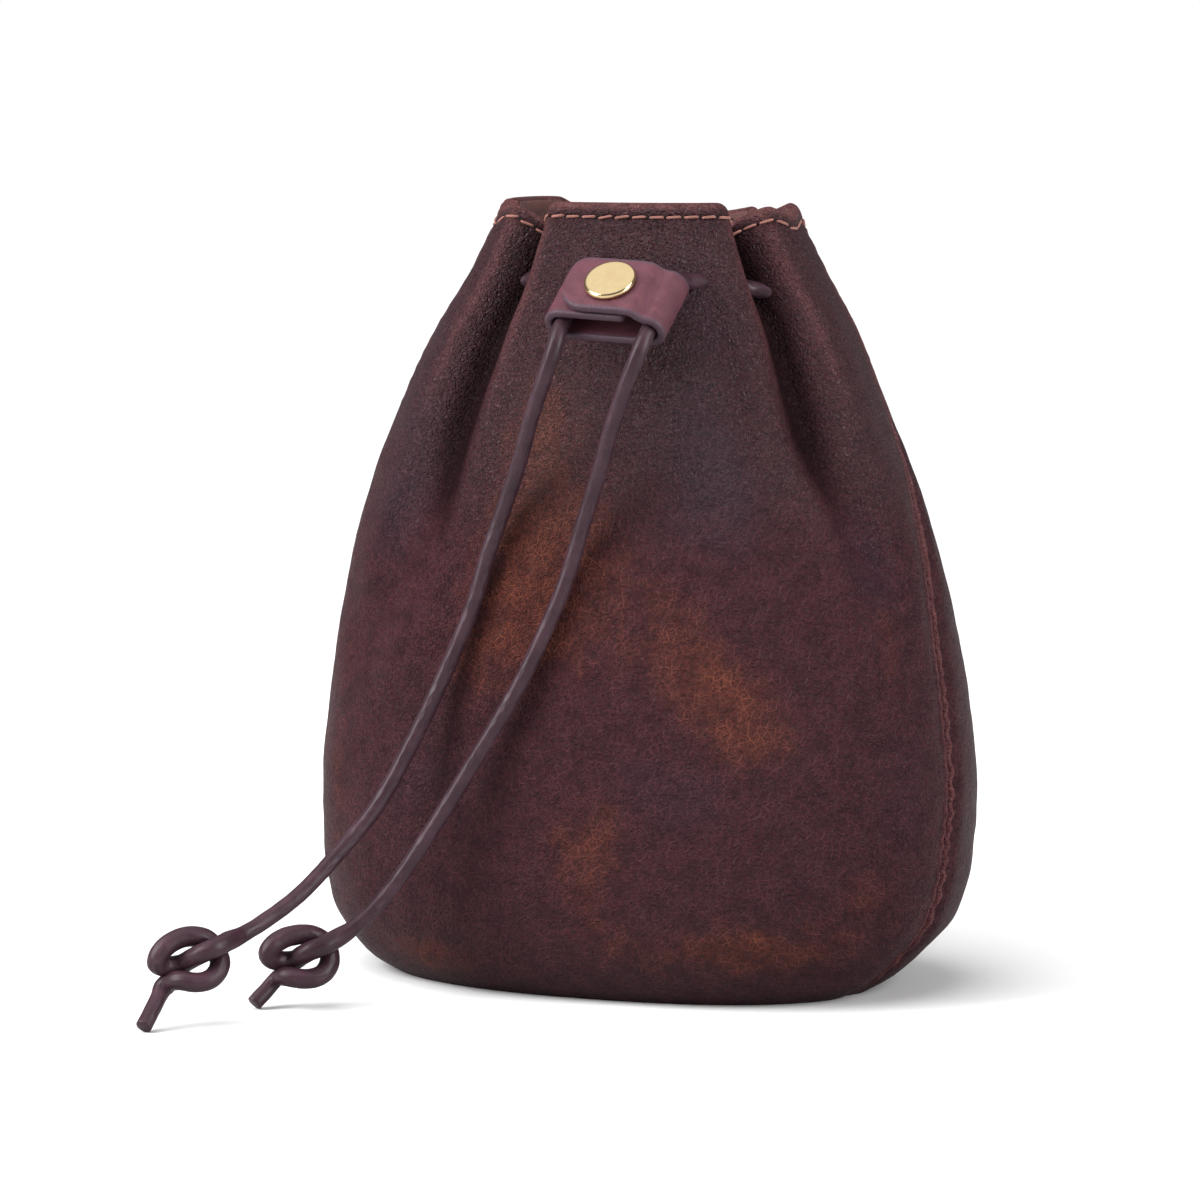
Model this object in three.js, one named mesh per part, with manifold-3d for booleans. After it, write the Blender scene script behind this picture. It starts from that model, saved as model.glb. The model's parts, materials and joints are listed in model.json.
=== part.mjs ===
// Drawstring bag of soft leather, standing on its flat base with the mouth drawn in.
// The front looks along -Y, +X is on the right of the front view and +Z is up.
// The origin is on the floor under the middle of the bag. All sizes are in millimetres.
import * as THREE from 'three';
import { ConvexGeometry } from 'three/addons/geometries/ConvexGeometry.js';
import { mergeVertices } from 'three/addons/utils/BufferGeometryUtils.js';
import Module from 'manifold-3d';

const wasm = await Module();
wasm.setup();

// Size of the bag
const HEIGHT = 168;
const HALF_WIDTH = 72.3;
const FRONT_DEPTH = 44.6;
const BACK_DEPTH = 47.2;
const SQUARENESS = 2.3;

// Leather walls, the turned hem and the seam between the two panels
const WALL = 1.6;
const HEM_WALL = 2.8;
const HEM_HEIGHT = 5;
const SEAM_GAP = 0.3;
const SEAM_GROOVE = 1.2;
const SEAM_SPREAD = 4.5;
const SEAM_EASE = 0.5;
const SEAM_EASE_FROM = 0.6;
const SEAM_EASE_TO = 0.85;
const BASE_SEAM_SHARE = 0.8;

// Gathers of the mouth
const FOLD_DEPTH = 12;
const RIM_DROP = 7;
const FOLD_MIDDLE = 0.72;
const FOLD_FADE = 1.25;
const DROP_START = 0.84;

// Drawstring of round leather lace and the holes that it runs through
const CORD_D = 3.2;
const CORD_SIDES = 8;
const KNOT_D = 2.9;
const KNOT_LAP = 0.2;
const CORD_STEP = 2.2 * CORD_D;
const NECK_STEP = 1.58 * CORD_D;
const HOLE_EASE = 0.5;
const JOINT_GAP = 0.3;
const RUN_GAP = 3.3 * JOINT_GAP;
const KNOT_GAP = 2.4 * JOINT_GAP;

// Keeper: a strip wrapped round both cord ends, leaning forward from the wall. Its
// middle is KEEPER_OUT in front of the smooth outline at KEEPER_LEVEL.
const KEEPER_ACROSS = 7.7;
const KEEPER_LEVEL = 0.878;
const KEEPER_OUT = 8.9;
const KEEPER_TILT = 51;
const KEEPER_TURN = 4.5;
const KEEPER_LENGTH = 15.3;
const KEEPER_STRIP = 1.7;
const KEEPER_EASE = 0.4;
const KEEPER_SPACING = 19.3;
const FLAP_END = 10.2;
const FLAP_CORNERS = [
  { up: 1, radius: 3.2 },
  { up: -1, radius: 6.6 },
];
const INNER_END = 4.5;
const CUT_MARGIN = 2;
const CUT_EASE = 0.1;

// Where the flap steps out over the inner layer: before is the distance from the right
// cord's middle, out a share of the step between two layers
const FLAP_RISE = [
  { before: 1.6, out: 0.35 },
  { before: 2.9, out: 0.85 },
  { before: 4.2, out: 1 },
];

// The drawstring's way from the keeper to the wall
const NECK_LEAD = 1.2;
const NECK_TURN = { aside: 1.0, back: 3.6, down: 0.6 };

// Cap rivet through the keeper
const CAP_D = 11;
const CAP_THICK = 1.3;
const POST_D = 4;
const FOOT_D = 8;
const FOOT_THICK = 0.8;
const RIVET_EASE = 0.3;

// Rounded edge of the cap: inside is the distance in from its rim, up a share of CAP_THICK
const CAP_EDGE = [
  { inside: 0.3, up: 0 },
  { inside: 0, up: 0.3 },
  { inside: 0.15, up: 0.72 },
  { inside: 0.7, up: 0.95 },
];

// Sections of the bag. level is a share of HEIGHT, width and lean are shares of
// HALF_WIDTH, front is a share of FRONT_DEPTH and back a share of BACK_DEPTH.
const SECTIONS = [
  { level: 0.000, width: 0.747, front: 0.706, back: 0.688, lean: -0.041 },
  { level: 0.018, width: 0.816, front: 0.800, back: 0.785, lean: -0.041 },
  { level: 0.048, width: 0.882, front: 0.888, back: 0.875, lean: -0.036 },
  { level: 0.095, width: 0.959, front: 0.955, back: 0.950, lean: -0.022 },
  { level: 0.167, width: 0.996, front: 0.991, back: 0.992, lean: -0.007 },
  { level: 0.250, width: 1.000, front: 1.000, back: 1.000, lean: 0.001 },
  { level: 0.357, width: 0.978, front: 0.982, back: 0.979, lean: 0.000 },
  { level: 0.476, width: 0.932, front: 0.937, back: 0.921, lean: -0.003 },
  { level: 0.595, width: 0.864, front: 0.870, back: 0.842, lean: -0.011 },
  { level: 0.714, width: 0.766, front: 0.794, back: 0.754, lean: -0.014 },
  { level: 0.833, width: 0.638, front: 0.709, back: 0.662, lean: -0.001 },
  { level: 0.905, width: 0.541, front: 0.659, back: 0.612, lean: 0.007 },
  { level: 1.000, width: 0.429, front: 0.628, back: 0.573, lean: 0.018 },
];

// Folds of the gathered mouth. rim, middle and foot are the fold's angles in degrees
// from the front, positive to +X, at the rim, at FOLD_MIDDLE and at its level foot.
// depth is a share of FOLD_DEPTH, negative inward. before and after are the half
// widths in degrees on its two sides. drop is a share of RIM_DROP.
const FOLDS = [
  { name: 'left_valley', rim: -33, middle: -31, foot: -27, level: 0.46, depth: -0.92,
    before: 8, after: 6, drop: 1.0 },
  { name: 'right_valley', rim: 57, middle: 52, foot: 68, level: 0.50, depth: -1.0,
    before: 6, after: 10, drop: 0.86 },
  { name: 'back_right_valley', rim: 140, middle: 138, foot: 142, level: 0.48, depth: -0.88,
    before: 8, after: 8, drop: 0.7 },
  { name: 'back_left_valley', rim: 222, middle: 224, foot: 220, level: 0.49, depth: -0.88,
    before: 8, after: 8, drop: 0.7 },
  { name: 'left_crest', rim: -62, middle: -52, foot: -52, level: 0.50, depth: 0.1,
    before: 9, after: 9, drop: 0.35 },
  { name: 'right_crest', rim: 84, middle: 77, foot: 74, level: 0.42, depth: 0.12,
    before: 9, after: 8, drop: 0.4 },
  { name: 'back_crest', rim: 181, middle: 181, foot: 181, level: 0.50, depth: 0,
    before: 34, after: 34, drop: 0.55 },
];

// Angles of the two seams in degrees from the front at each level
const SEAMS = [
  { level: 0.00, right: 75, left: -75 },
  { level: 0.05, right: 78, left: -78 },
  { level: 0.24, right: 81, left: -79.5 },
  { level: 0.48, right: 85, left: -77.5 },
  { level: 0.60, right: 90, left: -76 },
  { level: 0.75, right: 99, left: -75 },
  { level: 1.00, right: 100, left: -75 },
];

// Levels of the rows of each panel, from the floor to the rim
const LEVELS = [
  0, 0.012, 0.035, 0.075, 0.13, 0.21, 0.31, 0.41, 0.50, 0.58, 0.65, 0.71, 0.77,
  0.82, 0.865, 0.905, 0.94, 0.966, 0.97, 1,
];
const BASE_ROWS = [0, 0.5];
const FRONT_COLUMNS = 39;
const BACK_COLUMNS = 39;

// Columns stand closer together at a valley, within this many degrees of it
const VALLEY_CROWD = 2.6;
const VALLEY_REACH = 13;
const SHARE_STEPS = 400;

// Small steps that the surface's direction is taken over
const NEAR_ANGLE = 0.4;
const NEAR_LEVEL = 0.004;

// Route of the drawstring inside the neck: angle in degrees from the front, level, and
// how far its middle lies inside the smooth outline of the bag
const NECK_ROUTE = [
  { angle: -19, level: 0.905, inset: 4.8 },
  { angle: -34, level: 0.900, inset: 6.0 },
  { angle: -50, level: 0.890, inset: 6.3 },
  { angle: -68, level: 0.884, inset: 6.4 },
  { angle: -85, level: 0.880, inset: 6.4 },
  { angle: -105, level: 0.878, inset: 6.4 },
  { angle: -128, level: 0.878, inset: 6.4 },
  { angle: -152, level: 0.878, inset: 6.4 },
  { angle: -180, level: 0.878, inset: 6.4 },
  { angle: -208, level: 0.878, inset: 6.4 },
  { angle: -232, level: 0.878, inset: 6.4 },
  { angle: -255, level: 0.878, inset: 6.4 },
  { angle: -275, level: 0.880, inset: 6.4 },
  { angle: -292, level: 0.884, inset: 6.4 },
  { angle: -306, level: 0.892, inset: 6.2 },
  { angle: -322, level: 0.902, inset: 5.0 },
];

// Free ends of the drawstring, from the keeper down over the belly
const LEFT_RUN = [
  [-1.8, -48.2, 138.5], [-3.6, -48.9, 134.1], [-8.0, -46.6, 125.1], [-12.3, -43.4, 114.5],
  [-16.7, -41.2, 104.4], [-20.3, -41.1, 94.8], [-23.4, -41.9, 84.0], [-28.6, -43.6, 70.7],
  [-35.7, -46.8, 54.3], [-41.4, -51.7, 41.9], [-46.8, -57.7, 33.5], [-52.7, -65.6, 25.1],
  [-58.1, -72.4, 20.0], [-60.9, -77.2, 17.9],
];
const RIGHT_RUN = [
  [16.4, -48.7, 137.9], [14.6, -49.1, 133.6], [9.4, -46.4, 122.7], [5.2, -44.0, 111.7],
  [1.3, -42.7, 101.2], [-1.7, -42.8, 91.5], [-4.2, -43.6, 84.6], [-11.3, -45.6, 68.8],
  [-21.2, -48.0, 51.4], [-29.9, -50.6, 36.7], [-37.2, -53.1, 25.4], [-42.3, -55.4, 19.2],
  [-45.4, -57.0, 16.3],
];

// Overhand knot and short tail at the end of each free run
const LEFT_KNOT = [
  [-61.0, -77.5, 17.8], [-61.6, -79.5, 17.5], [-62.0, -81.6, 17.3], [-62.5, -83.5, 16.9],
  [-63.5, -85.3, 16.4], [-65.2, -86.2, 15.6], [-67.0, -86.0, 14.7], [-68.8, -85.4, 13.7],
  [-70.6, -85.0, 12.7], [-72.4, -85.8, 12.3], [-73.8, -87.4, 12.3], [-74.4, -89.0, 13.3],
  [-73.8, -88.9, 15.3], [-72.8, -87.8, 16.8], [-71.6, -86.4, 17.7], [-70.1, -85.0, 18.3],
  [-68.4, -83.7, 18.3], [-66.8, -82.5, 17.8], [-65.5, -81.6, 16.5], [-64.3, -81.5, 14.7],
  [-63.3, -82.3, 13.1], [-63.2, -83.6, 11.5], [-63.9, -85.1, 10.2], [-65.2, -86.6, 9.6],
  [-67.0, -87.8, 9.6], [-68.9, -88.3, 9.9], [-70.9, -87.8, 9.7], [-72.7, -86.9, 9.0],
  [-73.9, -87.5, 7.8], [-74.0, -89.1, 6.5], [-74.0, -90.8, 5.2], [-74.1, -92.5, 3.9],
  [-74.2, -94.1, 2.6], [-74.4, -95.7, 1.3],
];
const RIGHT_KNOT = [
  [-46.0, -57.3, 15.8], [-47.4, -58.3, 14.9], [-48.6, -59.6, 14.1], [-49.8, -60.9, 13.4],
  [-51.5, -61.5, 12.7], [-53.1, -61.4, 11.9], [-54.7, -60.9, 11.0], [-56.2, -60.4, 10.0],
  [-58.0, -60.6, 9.6], [-59.4, -61.7, 9.8], [-60.4, -63.2, 10.3], [-60.7, -64.3, 11.6],
  [-60.0, -64.0, 13.2], [-59.0, -62.8, 14.2], [-57.8, -61.6, 14.9], [-56.4, -60.4, 15.2],
  [-55.0, -59.2, 15.3], [-53.5, -58.1, 15.0], [-52.1, -57.2, 14.2], [-50.9, -56.9, 12.9],
  [-50.0, -57.1, 11.3], [-49.5, -57.9, 9.7], [-49.6, -59.1, 8.3], [-50.3, -60.5, 7.2],
  [-51.5, -61.8, 6.7], [-53.0, -62.9, 6.6], [-54.7, -63.6, 6.8], [-56.5, -63.6, 7.0],
  [-58.1, -62.8, 6.8], [-59.7, -62.0, 6.1], [-60.8, -62.7, 4.8], [-61.5, -63.9, 3.6],
  [-62.3, -65.1, 2.5], [-63.1, -66.3, 1.3],
];

// Smooth value of a table's column between its rows, with no overshoot
function lookup(rows, key, at, column) {
  const last = rows.length - 1;
  if (at <= rows[0][key]) return rows[0][column];
  if (at >= rows[last][key]) return rows[last][column];
  let i = 0;
  while (at > rows[i + 1][key]) i += 1;
  const slope = (k) => {
    const a = rows[k];
    const b = rows[k + 1];
    return (b[column] - a[column]) / (b[key] - a[key]);
  };
  const tangent = (k) => {
    if (k === 0) return slope(0);
    if (k === last) return slope(last - 1);
    const a = slope(k - 1);
    const b = slope(k);
    return a * b <= 0 ? 0 : (2 * a * b) / (a + b);
  };
  const span = rows[i + 1][key] - rows[i][key];
  const t = (at - rows[i][key]) / span;
  const t2 = t * t;
  const t3 = t2 * t;
  return (2 * t3 - 3 * t2 + 1) * rows[i][column]
    + (t3 - 2 * t2 + t) * span * tangent(i)
    + (3 * t2 - 2 * t3) * rows[i + 1][column]
    + (t3 - t2) * span * tangent(i + 1);
}

function smoothStep(from, to, value) {
  const t = Math.min(1, Math.max(0, (value - from) / (to - from)));
  return t * t * (3 - 2 * t);
}

function degreesApart(a, b) {
  return ((((a - b) % 360) + 540) % 360) - 180;
}

// Point and in-plane normal of the smooth outline, before the folds
function outline(angle, level) {
  const half = HALF_WIDTH * lookup(SECTIONS, 'level', level, 'width');
  const lean = HALF_WIDTH * lookup(SECTIONS, 'level', level, 'lean');
  const s = Math.sin(THREE.MathUtils.degToRad(angle));
  const c = Math.cos(THREE.MathUtils.degToRad(angle));
  const depth = c >= 0
    ? FRONT_DEPTH * lookup(SECTIONS, 'level', level, 'front')
    : BACK_DEPTH * lookup(SECTIONS, 'level', level, 'back');
  const x = Math.sign(s) * Math.abs(s) ** (2 / SQUARENESS) * half;
  const y = -Math.sign(c) * Math.abs(c) ** (2 / SQUARENESS) * depth;
  const gx = Math.sign(x) * Math.abs(x / half) ** (SQUARENESS - 1) / half;
  const gy = Math.sign(y) * Math.abs(y / depth) ** (SQUARENESS - 1) / depth;
  const g = Math.hypot(gx, gy);
  return { x: x + lean, y, nx: gx / g, ny: gy / g };
}

// Outer surface of the leather
function skin(angle, level) {
  const o = outline(angle, level);
  let push = 0;
  let drop = 0;
  for (const fold of FOLDS) {
    const stops = [
      { level: fold.level, angle: fold.foot },
      { level: FOLD_MIDDLE, angle: fold.middle },
      { level: 1, angle: fold.rim },
    ];
    const apart = degreesApart(angle, lookup(stops, 'level', level, 'angle'));
    const width = apart < 0 ? fold.before : fold.after;
    const bump = Math.exp(-((apart / width) ** 2));
    const fade = Math.max(0, (level - fold.level) / (1 - fold.level)) ** FOLD_FADE;
    push += FOLD_DEPTH * fold.depth * fade * bump;
    drop += RIM_DROP * fold.drop * bump * smoothStep(DROP_START, 1, level);
  }
  const shallow = 1 - SEAM_EASE * smoothStep(SEAM_EASE_FROM, SEAM_EASE_TO, level);
  for (const side of ['right', 'left']) {
    const apart = degreesApart(angle, lookup(SEAMS, 'level', level, side));
    push -= SEAM_GROOVE * shallow * Math.exp(-((apart / SEAM_SPREAD) ** 2));
  }
  return new THREE.Vector3(o.x + o.nx * push, o.y + o.ny * push, HEIGHT * level - drop);
}

function skinFrame(angle, level) {
  const low = Math.max(0, level - NEAR_LEVEL);
  const high = Math.min(1, level + NEAR_LEVEL);
  const ahead = skin(angle + NEAR_ANGLE, level);
  const along = ahead.sub(skin(angle - NEAR_ANGLE, level)).normalize();
  const rising = skin(angle, high).sub(skin(angle, low)).normalize();
  return { along, normal: along.clone().cross(rising).normalize() };
}

// Angles of a panel's columns as shares of its width, closer together at the valleys
function columnShares(count, from, to) {
  const valleys = FOLDS.filter((fold) => fold.depth < -0.5);
  const sums = [0];
  for (let i = 0; i < SHARE_STEPS; i += 1) {
    const angle = from + ((to - from) * (i + 0.5)) / SHARE_STEPS;
    let weight = 1;
    for (const fold of valleys) {
      const apart = degreesApart(angle, fold.rim) / VALLEY_REACH;
      weight += VALLEY_CROWD * Math.exp(-(apart ** 2));
    }
    sums.push(sums[i] + weight);
  }
  const shares = [];
  let i = 0;
  for (let k = 0; k < count; k += 1) {
    const goal = (sums[SHARE_STEPS] * k) / (count - 1);
    while (i < SHARE_STEPS - 1 && sums[i + 1] < goal) i += 1;
    const part = (goal - sums[i]) / (sums[i + 1] - sums[i]);
    shares.push(Math.min(1, (i + part) / SHARE_STEPS));
  }
  return shares;
}

// Closed wall between an outer and an inner grid of points
function wallGeometry(outer, inner) {
  const rows = outer.length;
  const columns = outer[0].length;
  const points = [...outer.flat(), ...inner.flat()];
  const o = (r, c) => r * columns + c;
  const i = (r, c) => rows * columns + r * columns + c;
  const faces = [];
  const quad = (a, b, c, d) => faces.push(a, b, c, a, c, d);
  for (let r = 0; r < rows - 1; r += 1) {
    for (let c = 0; c < columns - 1; c += 1) {
      quad(o(r, c), o(r, c + 1), o(r + 1, c + 1), o(r + 1, c));
      quad(i(r, c), i(r + 1, c), i(r + 1, c + 1), i(r, c + 1));
    }
  }
  for (let c = 0; c < columns - 1; c += 1) {
    quad(o(0, c + 1), o(0, c), i(0, c), i(0, c + 1));
    quad(o(rows - 1, c), o(rows - 1, c + 1), i(rows - 1, c + 1), i(rows - 1, c));
  }
  for (let r = 0; r < rows - 1; r += 1) {
    quad(o(r, 0), o(r + 1, 0), i(r + 1, 0), i(r, 0));
    quad(o(r + 1, columns - 1), o(r, columns - 1), i(r, columns - 1), i(r + 1, columns - 1));
  }
  const geometry = new THREE.BufferGeometry();
  const position = points.flatMap((p) => [p.x, p.y, p.z]);
  geometry.setAttribute('position', new THREE.Float32BufferAttribute(position, 3));
  geometry.setIndex(faces);
  return geometry;
}

// One of the two panels: it runs from seam to seam, and from the seam under the base
// up to the hem at the mouth
function panelGeometry(side) {
  const front = side === 'front';
  const span = (level) => {
    const right = lookup(SEAMS, 'level', level, 'right');
    const left = lookup(SEAMS, 'level', level, 'left');
    return front ? [left, right] : [right, left + 360];
  };
  const shares = columnShares(front ? FRONT_COLUMNS : BACK_COLUMNS, ...span(1));
  const outer = [];
  const inner = [];
  for (const level of LEVELS) {
    const [from, to] = span(level);
    const hem = level * HEIGHT > HEIGHT - HEM_HEIGHT;
    const thick = hem ? HEM_WALL : WALL;
    const outerRow = [];
    const innerRow = [];
    shares.forEach((share, c) => {
      const angle = from + (to - from) * share;
      const { along, normal } = skinFrame(angle, level);
      const point = skin(angle, level);
      if (c === 0) point.addScaledVector(along, SEAM_GAP / 2);
      if (c === shares.length - 1) point.addScaledVector(along, -SEAM_GAP / 2);
      const deep = point.clone();
      if (level === 0) {
        const flat = new THREE.Vector3(normal.x, normal.y, 0).normalize();
        deep.addScaledVector(flat, -WALL);
        deep.z = WALL;
      } else {
        if (level === 1) normal.setZ(0).normalize();
        deep.addScaledVector(normal, -thick);
      }
      outerRow.push(point);
      innerRow.push(deep);
    });
    outer.push(outerRow);
    inner.push(innerRow);
  }
  // the flat base closes from the panel's lowest ring to the seam line under the bag
  const ring = outer[0];
  const last = ring.length - 1;
  const seamY = (ring[0].y + ring[last].y) / 2 + (front ? -1 : 1) * (SEAM_GAP / 2);
  const toSeam = (row, z) => BASE_ROWS.map((share) => row.map((p, c) => {
    const along = (1 - Math.cos(Math.PI * shares[c])) / 2;
    const x = BASE_SEAM_SHARE * (row[0].x + (row[last].x - row[0].x) * along);
    return new THREE.Vector3(x + (p.x - x) * share, seamY + (p.y - seamY) * share, z);
  }));
  return wallGeometry(
    [...toSeam(ring, 0), ...outer],
    [...toSeam(inner[0], WALL), ...inner],
  );
}

function solid(geometry) {
  const bare = geometry.clone();
  bare.deleteAttribute('normal');
  bare.deleteAttribute('uv');
  const merged = mergeVertices(bare, 1e-4);
  return new wasm.Manifold(new wasm.Mesh({
    numProp: 3,
    vertProperties: new Float32Array(merged.getAttribute('position').array),
    triVerts: new Uint32Array(merged.getIndex().array),
  }));
}

function geometryOf(body) {
  const mesh = body.getMesh();
  const geometry = new THREE.BufferGeometry();
  const position = new THREE.Float32BufferAttribute(mesh.vertProperties, 3);
  geometry.setAttribute('position', position);
  geometry.setIndex(new THREE.Uint32BufferAttribute(mesh.triVerts, 1));
  return geometry;
}

function polygon(diameter, sides) {
  const shape = new THREE.Shape();
  for (let k = 0; k < sides; k += 1) {
    const a = (2 * Math.PI * (k + 0.5)) / sides;
    const x = (diameter / 2) * Math.cos(a);
    const y = (diameter / 2) * Math.sin(a);
    if (k === 0) shape.moveTo(x, y);
    else shape.lineTo(x, y);
  }
  shape.closePath();
  return shape;
}

function curveThrough(points) {
  return new THREE.CatmullRomCurve3(points.map((p) => new THREE.Vector3(...p)));
}

function tube(curve, diameter, steps) {
  return new THREE.ExtrudeGeometry(polygon(diameter, CORD_SIDES), {
    steps,
    bevelEnabled: false,
    extrudePath: curve,
  });
}

function cordGeometry(points) {
  const curve = curveThrough(points);
  return tube(curve, CORD_D, Math.round(curve.getLength() / CORD_STEP));
}

// A knot is drawn tight, so it is slimmer than the cord where its turns would touch,
// and it is joined from the hulls of neighbouring rings
function knotGeometry(points) {
  const curve = curveThrough(points);
  const steps = points.length - 1;
  const frames = curve.computeFrenetFrames(steps, false);
  const middles = curve.getSpacedPoints(steps);
  const rings = middles.map((middle, k) => {
    const ring = [];
    for (let i = 0; i < CORD_SIDES; i += 1) {
      const a = (2 * Math.PI * i) / CORD_SIDES;
      ring.push(middle.clone()
        .addScaledVector(frames.normals[k], (KNOT_D / 2) * Math.cos(a))
        .addScaledVector(frames.binormals[k], (KNOT_D / 2) * Math.sin(a)));
    }
    return ring;
  });
  let body = null;
  for (let k = 0; k < steps; k += 1) {
    const hull = [...rings[k], ...rings[k + 1]];
    // a low point at the far end reaches into the next piece, so the two join fully
    if (k < steps - 1) {
      hull.push(middles[k + 1].clone().addScaledVector(frames.tangents[k + 1], KNOT_LAP));
    }
    const piece = solid(new ConvexGeometry(hull));
    body = body ? body.add(piece) : piece;
  }
  return geometryOf(body);
}

// Keeper's own frame: x across, y outward from the wall, z up along the cords
const keeperWall = FRONT_DEPTH * lookup(SECTIONS, 'level', KEEPER_LEVEL, 'front');
const keeperFrame = new THREE.Matrix4()
  .makeTranslation(KEEPER_ACROSS, -keeperWall - KEEPER_OUT, KEEPER_LEVEL * HEIGHT)
  .multiply(new THREE.Matrix4().makeRotationX(THREE.MathUtils.degToRad(-KEEPER_TILT)))
  .multiply(new THREE.Matrix4().makeRotationY(THREE.MathUtils.degToRad(KEEPER_TURN)));
const cordHalf = KEEPER_SPACING / 2;
const loopRadius = CORD_D / 2 + KEEPER_EASE + KEEPER_STRIP / 2;
const layerStep = KEEPER_STRIP + JOINT_GAP;

function inKeeper(x, out, up) {
  return new THREE.Vector3(x, -out, up).applyMatrix4(keeperFrame);
}

// Middle line of the strip: the inner end, round the left cord, behind both cords,
// round the right cord, and over the front as the flap
function keeperLine() {
  const line = [];
  const arcSteps = 8;
  line.push([INNER_END, loopRadius]);
  for (let k = 0; k <= arcSteps; k += 1) {
    const a = Math.PI / 2 + (Math.PI * k) / arcSteps;
    line.push([-cordHalf + loopRadius * Math.cos(a), loopRadius * Math.sin(a)]);
  }
  for (let k = 0; k <= arcSteps; k += 1) {
    const a = -Math.PI / 2 + (Math.PI * k) / arcSteps;
    line.push([cordHalf + loopRadius * Math.cos(a), loopRadius * Math.sin(a)]);
  }
  for (const { before, out } of FLAP_RISE) {
    line.push([cordHalf - before, loopRadius + out * layerStep]);
  }
  line.push([-FLAP_END, loopRadius + layerStep]);
  return line;
}

function keeperGeometry() {
  const line = keeperLine();
  const sides = [[], []];
  line.forEach((p, k) => {
    const a = line[Math.max(0, k - 1)];
    const b = line[Math.min(line.length - 1, k + 1)];
    const length = Math.hypot(b[0] - a[0], b[1] - a[1]);
    const nx = -(b[1] - a[1]) / length;
    const ny = (b[0] - a[0]) / length;
    const half = KEEPER_STRIP / 2;
    sides[0].push(new THREE.Vector2(p[0] + nx * half, p[1] + ny * half));
    sides[1].push(new THREE.Vector2(p[0] - nx * half, p[1] - ny * half));
  });
  const shape = new THREE.Shape([...sides[0], ...sides[1].reverse()]);
  const strip = new THREE.ExtrudeGeometry(shape, {
    depth: KEEPER_LENGTH,
    steps: 1,
    bevelEnabled: false,
  });
  strip.translate(0, 0, -KEEPER_LENGTH / 2);
  // x stays across, the shape's y turns outward from the wall and the depth runs up
  strip.applyMatrix4(new THREE.Matrix4().set(
    1, 0, 0, 0,
    0, -1, 0, 0,
    0, 0, 1, 0,
    0, 0, 0, 1,
  ));
  const index = [...Array(strip.getAttribute('position').count).keys()];
  for (let k = 0; k < index.length; k += 3) {
    [index[k + 1], index[k + 2]] = [index[k + 2], index[k + 1]];
  }
  strip.setIndex(index);
  let body = solid(strip);
  const flapOut = loopRadius + layerStep;
  for (const { up, radius } of FLAP_CORNERS) {
    const rounded = new THREE.Shape();
    rounded.moveTo(-CUT_MARGIN, CUT_MARGIN);
    rounded.lineTo(-CUT_MARGIN, -radius);
    rounded.lineTo(0, -radius);
    rounded.absarc(radius, -radius, radius, Math.PI, Math.PI / 2, true);
    rounded.lineTo(radius, CUT_MARGIN);
    rounded.closePath();
    const cutter = new THREE.ExtrudeGeometry(rounded, {
      depth: KEEPER_STRIP + 2 * CUT_EASE,
      steps: 1,
      bevelEnabled: false,
      curveSegments: 4,
    });
    cutter.rotateX(Math.PI / 2);
    const half = KEEPER_LENGTH / 2;
    cutter.scale(1, 1, up);
    cutter.translate(-FLAP_END, -flapOut + KEEPER_STRIP / 2 + CUT_EASE, up * half);
    if (up < 0) {
      const flipped = [...Array(cutter.getAttribute('position').count).keys()];
      for (let k = 0; k < flipped.length; k += 3) {
        [flipped[k + 1], flipped[k + 2]] = [flipped[k + 2], flipped[k + 1]];
      }
      cutter.setIndex(flipped);
    }
    body = body.subtract(solid(cutter));
  }
  const bore = new THREE.CylinderGeometry(
    POST_D / 2 + RIVET_EASE, POST_D / 2 + RIVET_EASE, 8 * KEEPER_STRIP, 16,
  );
  body = body.subtract(solid(bore));
  return geometryOf(body).applyMatrix4(keeperFrame);
}

function rivetGeometry() {
  const top = loopRadius + layerStep + KEEPER_STRIP / 2 + RIVET_EASE;
  const bottom = -loopRadius - KEEPER_STRIP / 2 - RIVET_EASE;
  const profile = [
    [0, bottom - FOOT_THICK],
    [FOOT_D / 2, bottom - FOOT_THICK],
    [FOOT_D / 2, bottom],
    [POST_D / 2, bottom],
    [POST_D / 2, top],
    ...CAP_EDGE.map(({ inside, up }) => [CAP_D / 2 - inside, top + up * CAP_THICK]),
    [0, top + CAP_THICK],
  ];
  const lathe = new THREE.LatheGeometry(profile.map((p) => new THREE.Vector2(...p)), 24);
  // the lathe's axis turns from +Y to the outward direction
  lathe.rotateX(Math.PI);
  return lathe.applyMatrix4(keeperFrame);
}

// Whole route of the drawstring between the two ends of the keeper
function neckPoints() {
  const end = KEEPER_LENGTH / 2 + JOINT_GAP;
  const at = ({ angle, level, inset }) => {
    const o = outline(angle, level);
    return new THREE.Vector3(o.x - o.nx * inset, o.y - o.ny * inset, level * HEIGHT);
  };
  const left = -cordHalf;
  const right = cordHalf;
  const wallLeft = inKeeper(left, 0, KEEPER_LENGTH / 2 + NECK_LEAD);
  const wallRight = inKeeper(right, 0, KEEPER_LENGTH / 2 + NECK_LEAD);
  const { aside, back, down } = NECK_TURN;
  return [
    inKeeper(left, 0, -end),
    inKeeper(left, 0, 0),
    inKeeper(left, 0, KEEPER_LENGTH / 2),
    wallLeft,
    wallLeft.clone().add(new THREE.Vector3(-aside, back, -down)),
    ...NECK_ROUTE.map(at),
    wallRight.clone().add(new THREE.Vector3(aside, back, -down)),
    wallRight,
    inKeeper(right, 0, KEEPER_LENGTH / 2),
    inKeeper(right, 0, 0),
    inKeeper(right, 0, -end),
  ];
}

const neckCurve = new THREE.CatmullRomCurve3(neckPoints());
const neckSteps = Math.round(neckCurve.getLength() / NECK_STEP);
const neckHoles = solid(tube(neckCurve, CORD_D + 2 * HOLE_EASE, neckSteps));

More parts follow.
